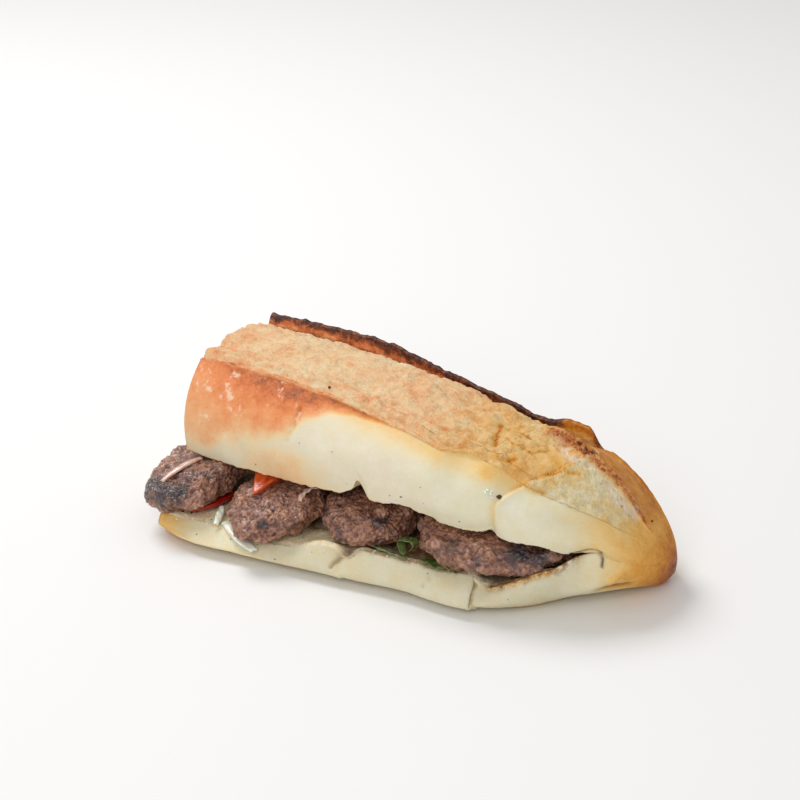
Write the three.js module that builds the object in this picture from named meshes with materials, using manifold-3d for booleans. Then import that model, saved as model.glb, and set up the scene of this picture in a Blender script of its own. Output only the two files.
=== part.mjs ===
// Half of a crusty white loaf, slit along its front and filled with grilled ground-meat patties,
// tomato, lettuce and onion. Millimetres, +Z up. X runs along the loaf from its cut end to its
// heel, the slit opens towards -Y, and the loaf stands on Z = 0.

import * as THREE from 'three';
import { mergeVertices } from 'three/addons/utils/BufferGeometryUtils.js';
import Module from 'manifold-3d';

const wasm = await Module();
wasm.setup();

// Driving dimensions of the loaf
const LOAF_LENGTH = 200;
const HEEL_FROM = 118;          // the loaf runs on with one section up to here, then narrows
const HEEL_HEIGHT = 14;         // height of the point that the heel closes on
const MOUTH_NARROWS = 120;      // from here the slit gets shallower
const MOUTH_END = 180;          // the slit ends here, in the heel
const HINGE = { y: 28, z: 20 }; // the bread is whole behind this line
const ROOF = 32.5;              // height of the crumb above the filling
const FLOOR = 10.4;             // height of the crumb below it
const CLEAR = 0.35;             // gap left round a piece that lies in another one

// Lines that run along the loaf: at each station X the place [Y, Z] of one line of the section.
// Past HEEL_FROM the places are those of a loaf that runs on, and heelShrink draws them in.
const AXIS = [[0, 5, 14], [100, 6, 14], [143, 8, 14], [158, 10.5, 14], [176, 12.3, 14], [200, 15.5, 14]];
const BASE_FRONT = [[0, -32, 0], [60, -34, 0], [118, -32, 0], [143, -31, 0], [158, -24, 0],
  [170, -8, 0], [178, 0, 0], [185, 8, 0], [191, 13, 0], [200, 17, 0]];
const BASE_BACK = [[0, 40, 0], [118, 42, 0], [200, 40, 0]];
const BACK_LOW = [[0, 51, 8], [118, 52, 8], [180, 50, 8], [200, 46, 8]];
const BACK_BULGE = [[0, 56, 29], [118, 55, 28], [150, 54, 28], [170, 50.5, 27], [185, 45, 26],
  [200, 40, 25]];
const BACK_SHOULDER = [[0, 55, 52], [60, 53, 52], [95, 50, 47], [115, 47, 43], [133, 45, 41],
  [150, 43.5, 41], [165, 41, 40.5], [180, 39, 38.5], [200, 38, 38]];
const EAR = [[0, 49, 65.4], [15, 46, 66.9], [31, 44.5, 67.2], [52, 42, 67.4], [65, 40.5, 66.7],
  [76, 39.5, 64.1], [86, 38.5, 61.8], [96, 37, 60.3], [106, 35, 58.8], [116, 33.5, 57.5],
  [125, 32, 56.3], [133, 31.5, 53.6], [140, 31.4, 53.7], [146, 31.2, 56.2], [153, 31.4, 57],
  [158, 31.8, 56.4], [160, 32.4, 52.4], [162, 33.5, 49.6], [166, 35, 49.6], [175, 35, 49],
  [200, 35, 45]];
const BLOOM_BACK = [[0, 43, 61.3], [18, 41, 62.5], [33, 40, 62.2], [51, 38.5, 60.9], [68, 37, 58.7],
  [83, 35.5, 56.5], [99, 33, 56.3], [108, 31, 54.7], [118, 28.5, 52.6], [128, 27, 51.4],
  [137, 26, 50.7], [143, 25, 50], [150, 27, 49.5], [160, 30, 50], [166, 30, 51], [175, 29, 51.5],
  [200, 28, 48]];
const GROOVE_DEPTH = [[0, 1.5, 0.8], [80, 2, 1.2], [100, 3.5, 3.5], [130, 4.5, 4.5], [150, 3, 2.5],
  [160, 2, 0.6], [166, 2, 0], [200, 2, 0]];
const DOME = [[0, 28, 66.3], [30, 27, 67], [60, 25, 66.5], [90, 24, 64], [110, 22, 60.5],
  [127, 22, 57], [140, 21, 54.5], [150, 22, 54], [160, 23, 54], [170, 20, 56.5], [178, 18, 57],
  [190, 15, 56], [200, 13, 53]];
const CREST = [[0, 15, 67.2], [30, 14, 68], [60, 12, 67.5], [90, 11, 65], [110, 11.5, 62.3],
  [127, 13, 59.5], [140, 14.5, 57.6], [147, 15.5, 58.2], [158.6, 12.1, 59.8], [171, 7.2, 60.4],
  [183, 3.1, 60.6], [190, -3, 60.5], [200, -12, 57]];
const CREASE = [[0, 8.5, 64.6], [30, 3, 66.2], [60, -1, 65.6], [90, -6, 62.8], [120, -12.5, 59.8],
  [135, -11, 58.4], [150, -10, 56.8], [200, -10, 56.5]];
const RIDGE = [[0, -6.2, 64.3], [16, -7.3, 65], [30, -10, 65.5], [43, -11, 65.5], [52, -12.7, 65],
  [67, -14, 64], [83, -17, 62.5], [97, -20, 61], [110, -23, 60], [120, -25.6, 58.5],
  [130, -23.1, 57.6], [142, -24.2, 56.7], [150, -23, 52.5], [200, -23, 52]];
const UPPER_LIP = [[0, -18.3, 28.9], [24, -22, 29], [48, -25, 30], [66, -27, 31], [80, -28, 33],
  [83.6, -28.5, 35.2], [86.2, -29, 40], [88.8, -29.2, 37], [91, -29.3, 33.6], [96, -29.4, 32.8],
  [103, -29.5, 33.8], [108, -29.6, 34], [114, -30, 32.9], [136, -31.4, 31.1], [142, -31.2, 32],
  [144, -31.1, 33.4], [147, -31.4, 32], [163.5, -31.9, 31], [172.5, -27.6, 28.2],
  [176.5, -24.6, 29], [180, -23.6, 29.9]];
const LOWER_LIP = [[0, -38.5, 9.6], [12, -39, 10.1], [35, -39.6, 9.4], [61, -39.5, 9.7],
  [79, -38, 13.3], [82, -37.6, 12.2], [85, -37, 9.6], [88.5, -36.5, 12.2], [102, -36, 13.4],
  [115, -35.5, 13.6], [127, -35.2, 13], [133, -35.4, 13.9], [139.5, -35.8, 14], [141.8, -36, 11.8],
  [150.5, -36.3, 13], [155.5, -36.4, 15.4], [164, -34.8, 20], [169, -32.3, 22.2], [173.3, -28.4, 26],
  [176.5, -23.9, 27.6], [180, -23.6, 29.9]];
const HEEL_SEAM = [[180, -23.6, 29.9], [185, -27, 29.5], [191, -30, 29], [200, -32, 28]];
const FRONT_BULGE = [[0, -40, 4.5], [15, -46, 5], [45, -45.6, 4.5], [80, -43.5, 4.5],
  [110, -41.5, 4.8], [143, -42, 5], [158, -36, 6], [170, -29, 8], [180, -26, 9.5], [200, -24, 11]];
// Outward bow of the front flap between ridge and lip
const FLAP_BOW = [[0, 5.9, 0], [40, 6.5, 0], [80, 6.5, 0], [120, 5.5, 0], [150, 6, 0], [200, 7, 0]];
// Edge of the torn panel at the heel: its station X by height, and how far it stands proud
const PANEL_EDGE = [[30, 146, 0], [40, 146.8, 0], [46, 147.5, 0], [48, 150, 0], [51, 159, 0],
  [52.5, 165, 0], [54, 172, 0]];
const PANEL_RISE = 2.2;
// Height of the torn edge that runs down over the heel
const CREST_RISE = 2;
// Cracks across the lower crust: station and step of the crust on their cut-end side
const CRUST_CRACKS = [[86, 1], [141.2, 1.9]];

const clamp = (v, low, high) => Math.min(high, Math.max(low, v));
const mix = (a, b, u) => a + (b - a) * u;
const blend = (p, q, u) => [mix(p[0], q[0], u), mix(p[1], q[1], u)];
const ramp = (v, low, high) => {
  const u = clamp((v - low) / (high - low), 0, 1);
  return u * u * (3 - 2 * u);
};

// Smooth curve through the stations of a line: cubic pieces whose slopes are the weighted mean
// of the slopes on both sides of each station.
function along(line, x) {
  const n = line.length;
  const slope = (i, k) => {
    if (i === 0) return (line[1][k] - line[0][k]) / (line[1][0] - line[0][0]);
    if (i === n - 1) return (line[i][k] - line[i - 1][k]) / (line[i][0] - line[i - 1][0]);
    const before = line[i][0] - line[i - 1][0];
    const after = line[i + 1][0] - line[i][0];
    const rise = before * before * line[i + 1][k] + (after * after - before * before) * line[i][k]
      - after * after * line[i - 1][k];
    return rise / (before * after * (before + after));
  };
  let i = 0;
  while (i < n - 2 && x >= line[i + 1][0]) i += 1;
  const h = line[i + 1][0] - line[i][0];
  const u = clamp((x - line[i][0]) / h, 0, 1);
  return [1, 2].map((k) => line[i][k] * (1 + 2 * u) * (1 - u) ** 2 + slope(i, k) * h * u * (1 - u) ** 2
    + line[i + 1][k] * u * u * (3 - 2 * u) - slope(i + 1, k) * h * u * u * (1 - u));
}

// The heel: width, height above and height below its closing point go to nothing at the tip
function heelShrink(x) {
  const t = clamp((x - HEEL_FROM) / (LOAF_LENGTH - HEEL_FROM), 0, 1);
  return { wide: Math.sqrt(1 - t ** 2.5), up: (1 - t ** 3) ** 0.72, down: Math.sqrt(1 - t ** 24) };
}

function placed([y, z], x) {
  const k = heelShrink(x);
  const centre = along(AXIS, x)[0];
  const height = z > HEEL_HEIGHT ? k.up : k.down;
  return [centre + (y - centre) * k.wide, HEEL_HEIGHT + (z - HEEL_HEIGHT) * height];
}

// Points of a smooth curve through a few knots, the last knot left out
function smooth(knots, steps) {
  const curve = new THREE.CatmullRomCurve3(knots.map(([y, z]) => new THREE.Vector3(0, y, z)),
    false, 'centripetal');
  return Array.from({ length: steps }, (_, i) => {
    const p = curve.getPoint(i / steps);
    return [p.y, p.z];
  });
}

function straight(a, b, steps) {
  return Array.from({ length: steps }, (_, i) => blend(a, b, i / steps));
}

// How deep the slit still is at X, as a share of its full depth
const mouthDepth = (x) => Math.sqrt(1 - clamp((x - MOUTH_NARROWS) / (MOUTH_END - MOUTH_NARROWS), 0, 1) ** 2);

// Low swellings of baked dough: a few crossed waves, 20 to 40 mm long
const swelling = (x, s) => 0.35 * Math.sin(x / 5.3 + s / 9) + 0.3 * Math.sin(x / 8.1 - s / 6.2 + 1.3)
  + 0.25 * Math.cos(x / 3.7 + s / 5.1 + 0.4);

// Step of the torn panel at the heel: its edge stands proud, the dough beside it lies low
function panelStep(x, z) {
  const beyond = x - along(PANEL_EDGE, clamp(z, 30, 54))[0];
  const fade = beyond > 0 ? Math.exp(-beyond / 25) : Math.exp(beyond / 9);
  return PANEL_RISE * (ramp(beyond, -1.8, 1.8) - 0.5) * fade;
}

function crustCrack(x) {
  return CRUST_CRACKS.reduce((sum, [station, step]) => {
    const beyond = x - station;
    return sum + step * (0.5 - ramp(beyond, -0.8, 0.8)) * Math.exp(-Math.abs(beyond) / 7);
  }, 0);
}

// One section of the loaf at X, as a closed loop of [Y, Z]
function section(x) {
  const at = (line, dy = 0, dz = 0) => {
    const [y, z] = along(line, x);
    return placed([y + dy, z + dz], x);
  };
  const pushed = (p, out) => {
    const arm = [p[0] - along(AXIS, x)[0], p[1] - 30];
    const reach = Math.hypot(...arm) || 1;
    return [p[0] + out * arm[0] / reach, p[1] + out * arm[1] / reach];
  };
  const open = mouthDepth(x);
  const shut = x >= MOUTH_END;
  const upperLip = at(shut ? HEEL_SEAM : UPPER_LIP);
  const lowerLip = at(shut ? HEEL_SEAM : LOWER_LIP);
  const earRim = at(EAR, -1.6, -0.4);
  const [grooveWide, grooveDeep] = along(GROOVE_DEPTH, x);
  const groove = at(BLOOM_BACK, grooveWide, -grooveDeep);
  const crestRise = CREST_RISE * ramp(x, 143, 150) * (1 - ramp(x, 186, 198));
  const crestTop = at(CREST, 0.8, crestRise / 2);
  const crestFoot = at(CREST, -0.8, -crestRise / 2);
  const crease = at(CREASE);
  const ridge = at(RIDGE);
  const heelward = ramp(x, 118, 146);
  const stepFoot = at(RIDGE, 2.5, mix(-0.3, 0.9, heelward));
  const terrace = blend(at(RIDGE, 5.6, 2.2), blend(ridge, crease, 0.45), heelward);

  const chord = [ridge[0] - upperLip[0], ridge[1] - upperLip[1]];
  const chordLength = Math.hypot(...chord) || 1;
  const bow = along(FLAP_BOW, x)[0] * heelShrink(x).wide;
  const bowed = (u) => {
    const out = bow * 4 * u * (1 - u);
    const p = blend(upperLip, ridge, u);
    return [p[0] - out * chord[1] / chordLength, p[1] + out * chord[0] / chordLength];
  };

  const hinge = [mix((upperLip[0] + lowerLip[0]) / 2, HINGE.y, open),
    mix((upperLip[1] + lowerLip[1]) / 2, HINGE.z, open)];
  const hingeTop = [hinge[0] - 2 * open, hinge[1] + 2 * open];
  const hingeFoot = [hinge[0] - 2 * open, hinge[1] - 2 * open];
  const roof = mix(hinge[1], ROOF, open);
  const floor = mix(hinge[1], FLOOR, open);
  const upperEdge = [upperLip[0] + 3.2 * open, upperLip[1] - 0.4 * open];
  const lowerEdge = [lowerLip[0] + 2.6 * open, lowerLip[1] + 0.5 * open];
  const inward = (edge, share, z) => [mix(edge[0], hinge[0], share), z];

  const crust = [
    ...straight(at(BASE_FRONT), at(BASE_BACK), 4),
    ...smooth([at(BASE_BACK), at(BACK_LOW), at(BACK_BULGE), at(BACK_SHOULDER), at(EAR)], 9),
    ...straight(at(EAR), earRim, 1),
    ...straight(earRim, groove, 2),
    ...straight(groove, at(BLOOM_BACK), 1),
  ];
  const bloom = [
    ...smooth([at(BLOOM_BACK), at(DOME), crestTop], 7),
    ...straight(crestTop, crestFoot, 1),
    ...smooth([crestFoot, blend(crestFoot, crease, 0.5), crease], 5),
    ...straight(crease, terrace, 2),
  ].map((p, i) => pushed(p, swelling(x, 3 * i) * heelShrink(x).wide));
  const front = [
    ...smooth([terrace, stepFoot, ridge], 3),
    ...smooth([ridge, bowed(0.75), bowed(0.5), bowed(0.25), upperLip], 9),
  ];
  const torn = [...bloom.slice(8), ...front].map((p) => pushed(p, panelStep(x, p[1]) * heelShrink(x).wide));
  const crumb = [
    ...straight(upperLip, upperEdge, 1),
    ...smooth([upperEdge, inward(upperEdge, 0.2, mix(upperEdge[1], roof, 0.85)),
      inward(upperEdge, 0.5, roof), hingeTop], 6),
    ...straight(hingeTop, hinge, 1),
    ...straight(hinge, hingeFoot, 1),
    ...smooth([hingeFoot, inward(lowerEdge, 0.55, floor + 0.8 * open),
      inward(lowerEdge, 0.12, mix(lowerEdge[1], floor, 0.9)), lowerEdge], 6),
    ...straight(lowerEdge, lowerLip, 1),
  ];
  const bulge = at(FRONT_BULGE);
  const swell = pushed(blend(lowerLip, bulge, 0.5), 1.6 * heelShrink(x).wide);
  const lowerCrust = smooth([lowerLip, swell, bulge, at(BASE_FRONT)], 7)
    .map((p, i) => (i === 0 ? p : pushed(p, crustCrack(x))));
  return [...crust, ...bloom.slice(0, 8), ...torn, ...crumb, ...lowerCrust];
}

// A closed shell through loops of points with equal counts. Ends are closed flat; an end loop that
// is a single point needs no cap.
function shell(loops, capAxes) {
  const n = loops[0].length;
  const positions = loops.flat().flatMap((p) => [p.x, p.y, p.z]);
  const faces = [];
  for (let i = 0; i < loops.length - 1; i += 1) {
    for (let j = 0; j < n; j += 1) {
      const a = i * n + j;
      const b = i * n + (j + 1) % n;
      faces.push([a, b, b + n], [a, b + n, a + n]);
    }
  }
  [0, loops.length - 1].forEach((i, end) => {
    const outline = loops[i].map((p) => new THREE.Vector2(p[capAxes[0]], p[capAxes[1]]));
    if (Math.abs(THREE.ShapeUtils.area(outline)) < 1e-6) return;
    THREE.ShapeUtils.triangulateShape(outline, []).forEach((t) => {
      const face = t.map((k) => k + i * n);
      // the outline is walked one way by the sides, so the cap walks it the other way
      const forward = (t[1] - t[0] + n) % n < (t[2] - t[0] + n) % n;
      faces.push(forward === (end === 0) ? [face[0], face[2], face[1]] : face);
    });
  });
  return closed(positions, faces);
}

// Faces over shared corners, without those that have shrunk to a line, all facing out
function closed(positions, faces) {
  let geometry = new THREE.BufferGeometry();
  geometry.setAttribute('position', new THREE.Float32BufferAttribute(positions, 3));
  geometry.setIndex(faces.flat());
  geometry = mergeVertices(geometry, 2e-3);
  const index = [...geometry.index.array];
  const place = geometry.attributes.position;
  const kept = [];
  let volume = 0;
  const [a, b, c] = [new THREE.Vector3(), new THREE.Vector3(), new THREE.Vector3()];
  for (let i = 0; i < index.length; i += 3) {
    const [p, q, r] = index.slice(i, i + 3);
    if (p === q || q === r || r === p) continue;
    kept.push(p, q, r);
    a.fromBufferAttribute(place, p);
    b.fromBufferAttribute(place, q);
    c.fromBufferAttribute(place, r);
    volume += a.dot(b.cross(c));
  }
  if (volume < 0) {
    for (let i = 0; i < kept.length; i += 3) [kept[i + 1], kept[i + 2]] = [kept[i + 2], kept[i + 1]];
  }
  geometry.setIndex(kept);
  return geometry;
}

function bread() {
  const stations = [];
  const bodySteps = 32;
  const heelSteps = 27;
  for (let i = 0; i < bodySteps; i += 1) stations.push(HEEL_FROM * i / bodySteps);
  for (let i = 0; i <= heelSteps; i += 1) {
    stations.push(HEEL_FROM + (LOAF_LENGTH - HEEL_FROM) * (1 - (1 - i / heelSteps) ** 1.6));
  }
  const loops = stations.map((x) => section(x).map(([y, z]) => new THREE.Vector3(x, y, z)));
  return shell(loops, ['y', 'z']);
}

// A patty: a puck with a rounded rim, an uneven plan and lumps of ground meat on its surface.
// half is its half length, half width and half thickness; taper narrows its +X end.
function patty({ half, lobes, phase, taper = 0 }) {
  const around = 34;
  const over = 14;
  const loops = [];
  for (let i = 0; i <= over; i += 1) {
    const up = Math.PI * (i / over - 0.5);
    const reach = Math.cos(up) ** 0.62;
    const lift = Math.sign(up) * Math.abs(Math.sin(up)) ** 0.85;
    const loop = [];
    for (let j = 0; j < around; j += 1) {
      const turn = 2 * Math.PI * j / around;
      const plan = 1 + lobes * (0.55 * Math.cos(3 * turn + phase) + 0.45 * Math.cos(5 * turn - 2 * phase));
      const lump = 1 + reach * (0.035 * Math.sin(4 * turn + 5 * up + phase) + 0.03 * Math.sin(7 * turn - 4 * up));
      const thin = 1 - taper * Math.max(0, Math.cos(turn)) * reach;
      loop.push(new THREE.Vector3(
        half[0] * reach * plan * lump * Math.cos(turn),
        half[1] * reach * plan * lump * Math.sin(turn) * thin,
        half[2] * lift * lump * thin,
      ));
    }
    loops.push(loop);
  }
  return shell(loops, ['x', 'y']);
}

// A flat strip along a curve through points, with a rectangular section
function strip(points, width, thickness, steps, twist = 0) {
  const curve = new THREE.CatmullRomCurve3(points.map((p) => new THREE.Vector3(...p)));
  const loops = [];
  for (let i = 0; i <= steps; i += 1) {
    const u = i / steps;
    const middle = curve.getPoint(u);
    const ahead = curve.getTangent(u);
    const side = new THREE.Vector3().crossVectors(ahead, new THREE.Vector3(0, 0, 1)).normalize();
    side.applyAxisAngle(ahead, twist * u);
    const up = new THREE.Vector3().crossVectors(side, ahead);
    const w = width / 2 * (0.55 + 0.45 * Math.sin(Math.PI * clamp(u, 0.08, 0.92)));
    loops.push([[-w, -1], [w, -1], [w, 1], [-w, 1]].map(([s, h]) => middle.clone()
      .addScaledVector(side, s).addScaledVector(up, h * thickness / 2)));
  }
  return stripShell(loops);
}

function stripShell(loops) {
  const n = loops[0].length;
  const positions = loops.flat().flatMap((p) => [p.x, p.y, p.z]);
  const faces = [];
  for (let i = 0; i < loops.length - 1; i += 1) {
    for (let j = 0; j < n; j += 1) {
      const a = i * n + j;
      const b = i * n + (j + 1) % n;
      faces.push([a, b, b + n], [a, b + n, a + n]);
    }
  }
  const last = (loops.length - 1) * n;
  faces.push([0, 2, 1], [0, 3, 2], [last, last + 1, last + 2], [last, last + 2, last + 3]);
  return closed(positions, faces);
}

// A leaf: a thin sheet over place(u, v), both faces split into the same triangles
function leaf(place, thickness, across, down) {
  const normal = (u, v) => {
    const e = 1e-3;
    const du = new THREE.Vector3().subVectors(place(u + e, v), place(u - e, v));
    const dv = new THREE.Vector3().subVectors(place(u, v + e), place(u, v - e));
    return du.cross(dv).normalize();
  };
  const positions = [];
  [-0.5, 0.5].forEach((side) => {
    for (let i = 0; i <= down; i += 1) {
      for (let j = 0; j <= across; j += 1) {
        const p = place(j / across, i / down).addScaledVector(normal(j / across, i / down), side * thickness);
        positions.push(p.x, p.y, p.z);
      }
    }
  });
  const row = across + 1;
  const top = row * (down + 1);
  const faces = [];
  for (let i = 0; i < down; i += 1) {
    for (let j = 0; j < across; j += 1) {
      const a = i * row + j;
      faces.push([a, a + row + 1, a + 1], [a, a + row, a + row + 1]);
      faces.push([top + a, top + a + 1, top + a + row + 1], [top + a, top + a + row + 1, top + a + row]);
    }
  }
  const rim = [];
  for (let j = 0; j < across; j += 1) rim.push(j);
  for (let i = 0; i < down; i += 1) rim.push(i * row + across);
  for (let j = across; j > 0; j -= 1) rim.push(down * row + j);
  for (let i = down; i > 0; i -= 1) rim.push(i * row);
  rim.forEach((a, k) => {
    const b = rim[(k + 1) % rim.length];
    faces.push([a, b, top + b], [a, top + b, top + a]);
  });
  return closed(positions, faces);
}

function solid(geometry) {
  return new wasm.Manifold(new wasm.Mesh({
    numProp: 3,
    vertProperties: new Float32Array(geometry.attributes.position.array),
    triVerts: new Uint32Array(geometry.index.array),
  }));
}

// A geometry with others cut out of it
function cutBy(geometry, ...cutters) {
  let body = solid(geometry);
  cutters.forEach((cutter) => {
    body = body.subtract(solid(cutter));
  });
  const mesh = body.getMesh();
  const faces = [];
  for (let i = 0; i < mesh.triVerts.length; i += 3) faces.push([...mesh.triVerts.slice(i, i + 3)]);
  return closed([...mesh.vertProperties], faces);
}

function turned(geometry, { roll = 0, pitch = 0, yaw = 0, at }) {
  const euler = new THREE.Euler(...[pitch, roll, yaw].map(THREE.MathUtils.degToRad), 'XYZ');
  const place = new THREE.Matrix4().makeRotationFromEuler(euler).setPosition(...at);
  return geometry.applyMatrix4(place);
}

// Tomato wedge: its cut face slopes down to the front over patty 2, and it reaches under the lid
function tomatoWedge(grow) {
  const face = [[31.5, -14.6, 30.6], [47.5, -14.6, 30.6], [38.4, -30.6, 22.4]];
  const centre = new THREE.Vector3(39, -19, 27);
  const down = new THREE.Vector3(0, 0.48, -0.88);
  const thick = 3.4;
  const ring = (depth) => face.map((p) => {
    const v = new THREE.Vector3(...p);
    const out = v.clone().sub(centre).normalize();
    return v.addScaledVector(out, grow * 1.6).addScaledVector(down, depth);
  });
  const loops = [ring(-grow), ring(thick + grow)];
  const positions = loops.flat().flatMap((p) => [p.x, p.y, p.z]);
  return closed(positions, [[0, 1, 2], [3, 5, 4], [0, 3, 4], [0, 4, 1], [1, 4, 5], [1, 5, 2], [2, 5, 3], [2, 3, 0]]);
}

// Tomato slice: a thin oval round, flat under patty 1
function tomatoSlice(grow) {
  const middle = [3.4, -21.5];
  const half = [14, 16];
  const around = 28;
  const ring = (reach, z) => Array.from({ length: around }, (_, j) => {
    const turn = 2 * Math.PI * j / around;
    return new THREE.Vector3(middle[0] + (reach * half[0] + grow) * Math.cos(turn),
      middle[1] + (reach * half[1] + grow) * Math.sin(turn), z);
  });
  return shell([ring(0.94, 11.9 - grow), ring(1, 12.4), ring(1, 13.4), ring(0.94, 14 + grow)], ['x', 'y']);
}

// Routes of the strips of lettuce and onion
const ribPath = [[28.8, -36, 11.1], [34.6, -39.5, 10.8], [40.4, -42.8, 9.9], [45.3, -45, 9.1], [49.6, -46.9, 8.5]];
const shredPath = [[23.9, -29.7, 14.2], [25.3, -33.2, 13.6], [26.6, -36.8, 12.9], [27.6, -40.2, 11.6]];
const strandPath = [[94, -32, 14.9], [100, -33.6, 15.2], [106, -34.8, 15.1], [112, -35.6, 14.8]];
const onionPath = [[1, -38.5, 22.9], [3.4, -32, 25.5], [6, -25.5, 27], [8.4, -20.4, 27.5]];
const wavyPath = [[59.6, -27, 23.6], [59.4, -22.8, 24.6], [60, -18.8, 25], [62, -16, 24.8]];
const threadPath = [[116.3, -21, 26.2], [118.6, -25, 26.2], [120.6, -29, 25.2]];

const lettuceRib = (grow) => strip(ribPath, 4.8 + 2 * grow, 1.6 + 2 * grow, 10);
const lettuceShred = (grow) => strip(shredPath, 3 + 2 * grow, 0.9 + 2 * grow, 8, 0.5);
const lettuceStrand = (grow) => strip(strandPath, 1.6 + 2 * grow, 0.8 + 2 * grow, 8, 0.6);
const onionSliver = (grow) => strip(onionPath, 2.4 + 2 * grow, 1.2 + 2 * grow, 8);
const wavySliver = (grow) => strip(wavyPath, 2.4 + 2 * grow, 0.9 + 2 * grow, 8, 0.4);
const onionThread = (grow) => strip(threadPath, 0.9 + 2 * grow, 0.7 + 2 * grow, 5);

// A ribbon of lettuce rolled three quarters round, between patties 3 and 4
function lettuceCurl() {
  const place = (u, v) => {
    const turn = mix(-0.6, 1.5 * Math.PI, u);
    const radius = 3 + 0.5 * Math.sin(3 * turn);
    return new THREE.Vector3(108.2 + radius * Math.cos(turn) + 0.6 * v, -31.8 + 4 * v + 0.4 * Math.sin(turn),
      17.6 + radius * 0.9 * Math.sin(turn));
  };
  return leaf(place, 0.7, 18, 3);
}

// A wavy scrap of leaf that lies on the lower lip under patty 4
function lettuceLeaf(grow) {
  const place = (u, v) => new THREE.Vector3(mix(117 - grow, 133 + grow, u),
    mix(-36.5 - grow, -31 + grow, v) + 0.5 * Math.sin(9 * u), 15.3 - 0.2 * v + 0.4 * Math.sin(11 * u + 2 * v));
  return leaf(place, 0.7 + 2 * grow, 12, 4);
}

const PATTIES = {
  patty_1: { shape: { half: [17.2, 25.5, 7.4], lobes: 0.05, phase: 0.6 },
    place: { pitch: 6, roll: -10, yaw: 8, at: [3.2, -18.8, 19.5] },
    cutters: [onionSliver(CLEAR), tomatoSlice(CLEAR)] },
  patty_2: { shape: { half: [18, 25, 6.8], lobes: 0.045, phase: 2.2 },
    place: { pitch: 8, roll: -2, yaw: -6, at: [47.2, -22.4, 18.5] },
    cutters: [tomatoWedge(CLEAR), lettuceRib(CLEAR), lettuceShred(CLEAR), wavySliver(CLEAR)] },
  patty_3: { shape: { half: [19.6, 21.5, 7], lobes: 0.04, phase: 4.1 },
    place: { pitch: 5, roll: 0, yaw: 4, at: [85, -13.8, 19.6] }, cutters: [lettuceStrand(CLEAR)] },
  patty_4: { shape: { half: [29.5, 21, 6.8], lobes: 0.03, phase: 1.1, taper: 0.3 },
    place: { pitch: 4, roll: 0, yaw: 5, at: [140, -18, 22] },
    cutters: [onionThread(CLEAR), lettuceLeaf(CLEAR)] },
};

const finish = {
  crust: new THREE.MeshStandardMaterial({ color: 0xe2ab72, roughness: 0.75, metalness: 0 }),
  meat: new THREE.MeshStandardMaterial({ color: 0x6f4f42, roughness: 0.55, metalness: 0 }),
  tomato: new THREE.MeshStandardMaterial({ color: 0xcc4a1c, roughness: 0.3, metalness: 0 }),
  lettuce: new THREE.MeshStandardMaterial({ color: 0x86a058, roughness: 0.4, metalness: 0 }),
  rib: new THREE.MeshStandardMaterial({ color: 0xe4e8dc, roughness: 0.4, metalness: 0 }),
  onion: new THREE.MeshStandardMaterial({ color: 0xd9c3b4, roughness: 0.35, metalness: 0 }),
};

const sandwich = new THREE.Group();
const addPiece = (name, geometry, material) => {
  geometry.computeVertexNormals();
  const mesh = new THREE.Mesh(geometry, material);
  mesh.name = name;
  sandwich.add(mesh);
};

addPiece('bread', bread(), finish.crust);
Object.entries(PATTIES).forEach(([name, { shape, place, cutters }]) => {
  addPiece(name, cutBy(turned(patty(shape), place), ...cutters), finish.meat);
});
addPiece('tomato_wedge', tomatoWedge(0), finish.tomato);
addPiece('tomato_slice', tomatoSlice(0), finish.tomato);
addPiece('lettuce_rib', lettuceRib(0), finish.rib);
addPiece('lettuce_shred', lettuceShred(0), finish.lettuce);
addPiece('lettuce_strand', lettuceStrand(0), finish.lettuce);
addPiece('lettuce_curl', lettuceCurl(), finish.lettuce);
addPiece('lettuce_leaf', lettuceLeaf(0), finish.lettuce);
addPiece('onion_sliver_1', onionSliver(0), finish.onion);
addPiece('onion_sliver_2', wavySliver(0), finish.onion);
addPiece('onion_thread', onionThread(0), finish.onion);

// The part's origin is under the middle of its box, on the surface it stands on
sandwich.updateMatrixWorld(true);
const box = new THREE.Box3().setFromObject(sandwich, true);
const middle = box.getCenter(new THREE.Vector3());
sandwich.position.set(-middle.x, -middle.y, -box.min.z);

export default sandwich;
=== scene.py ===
"""Half of a crusty white loaf, slit along its front and filled with grilled ground-meat patties,
tomato, lettuce and onion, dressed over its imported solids.

Shapes are worked out in loaf millimetres: X from the cut end to the heel, the slit towards -Y,
the base on Z = 0. mesh_piece turns them to metres and puts them where the solids stand.
"""

import math

import bpy
import numpy as np
from mathutils import Matrix, Vector
from mathutils.geometry import delaunay_2d_cdt


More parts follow.
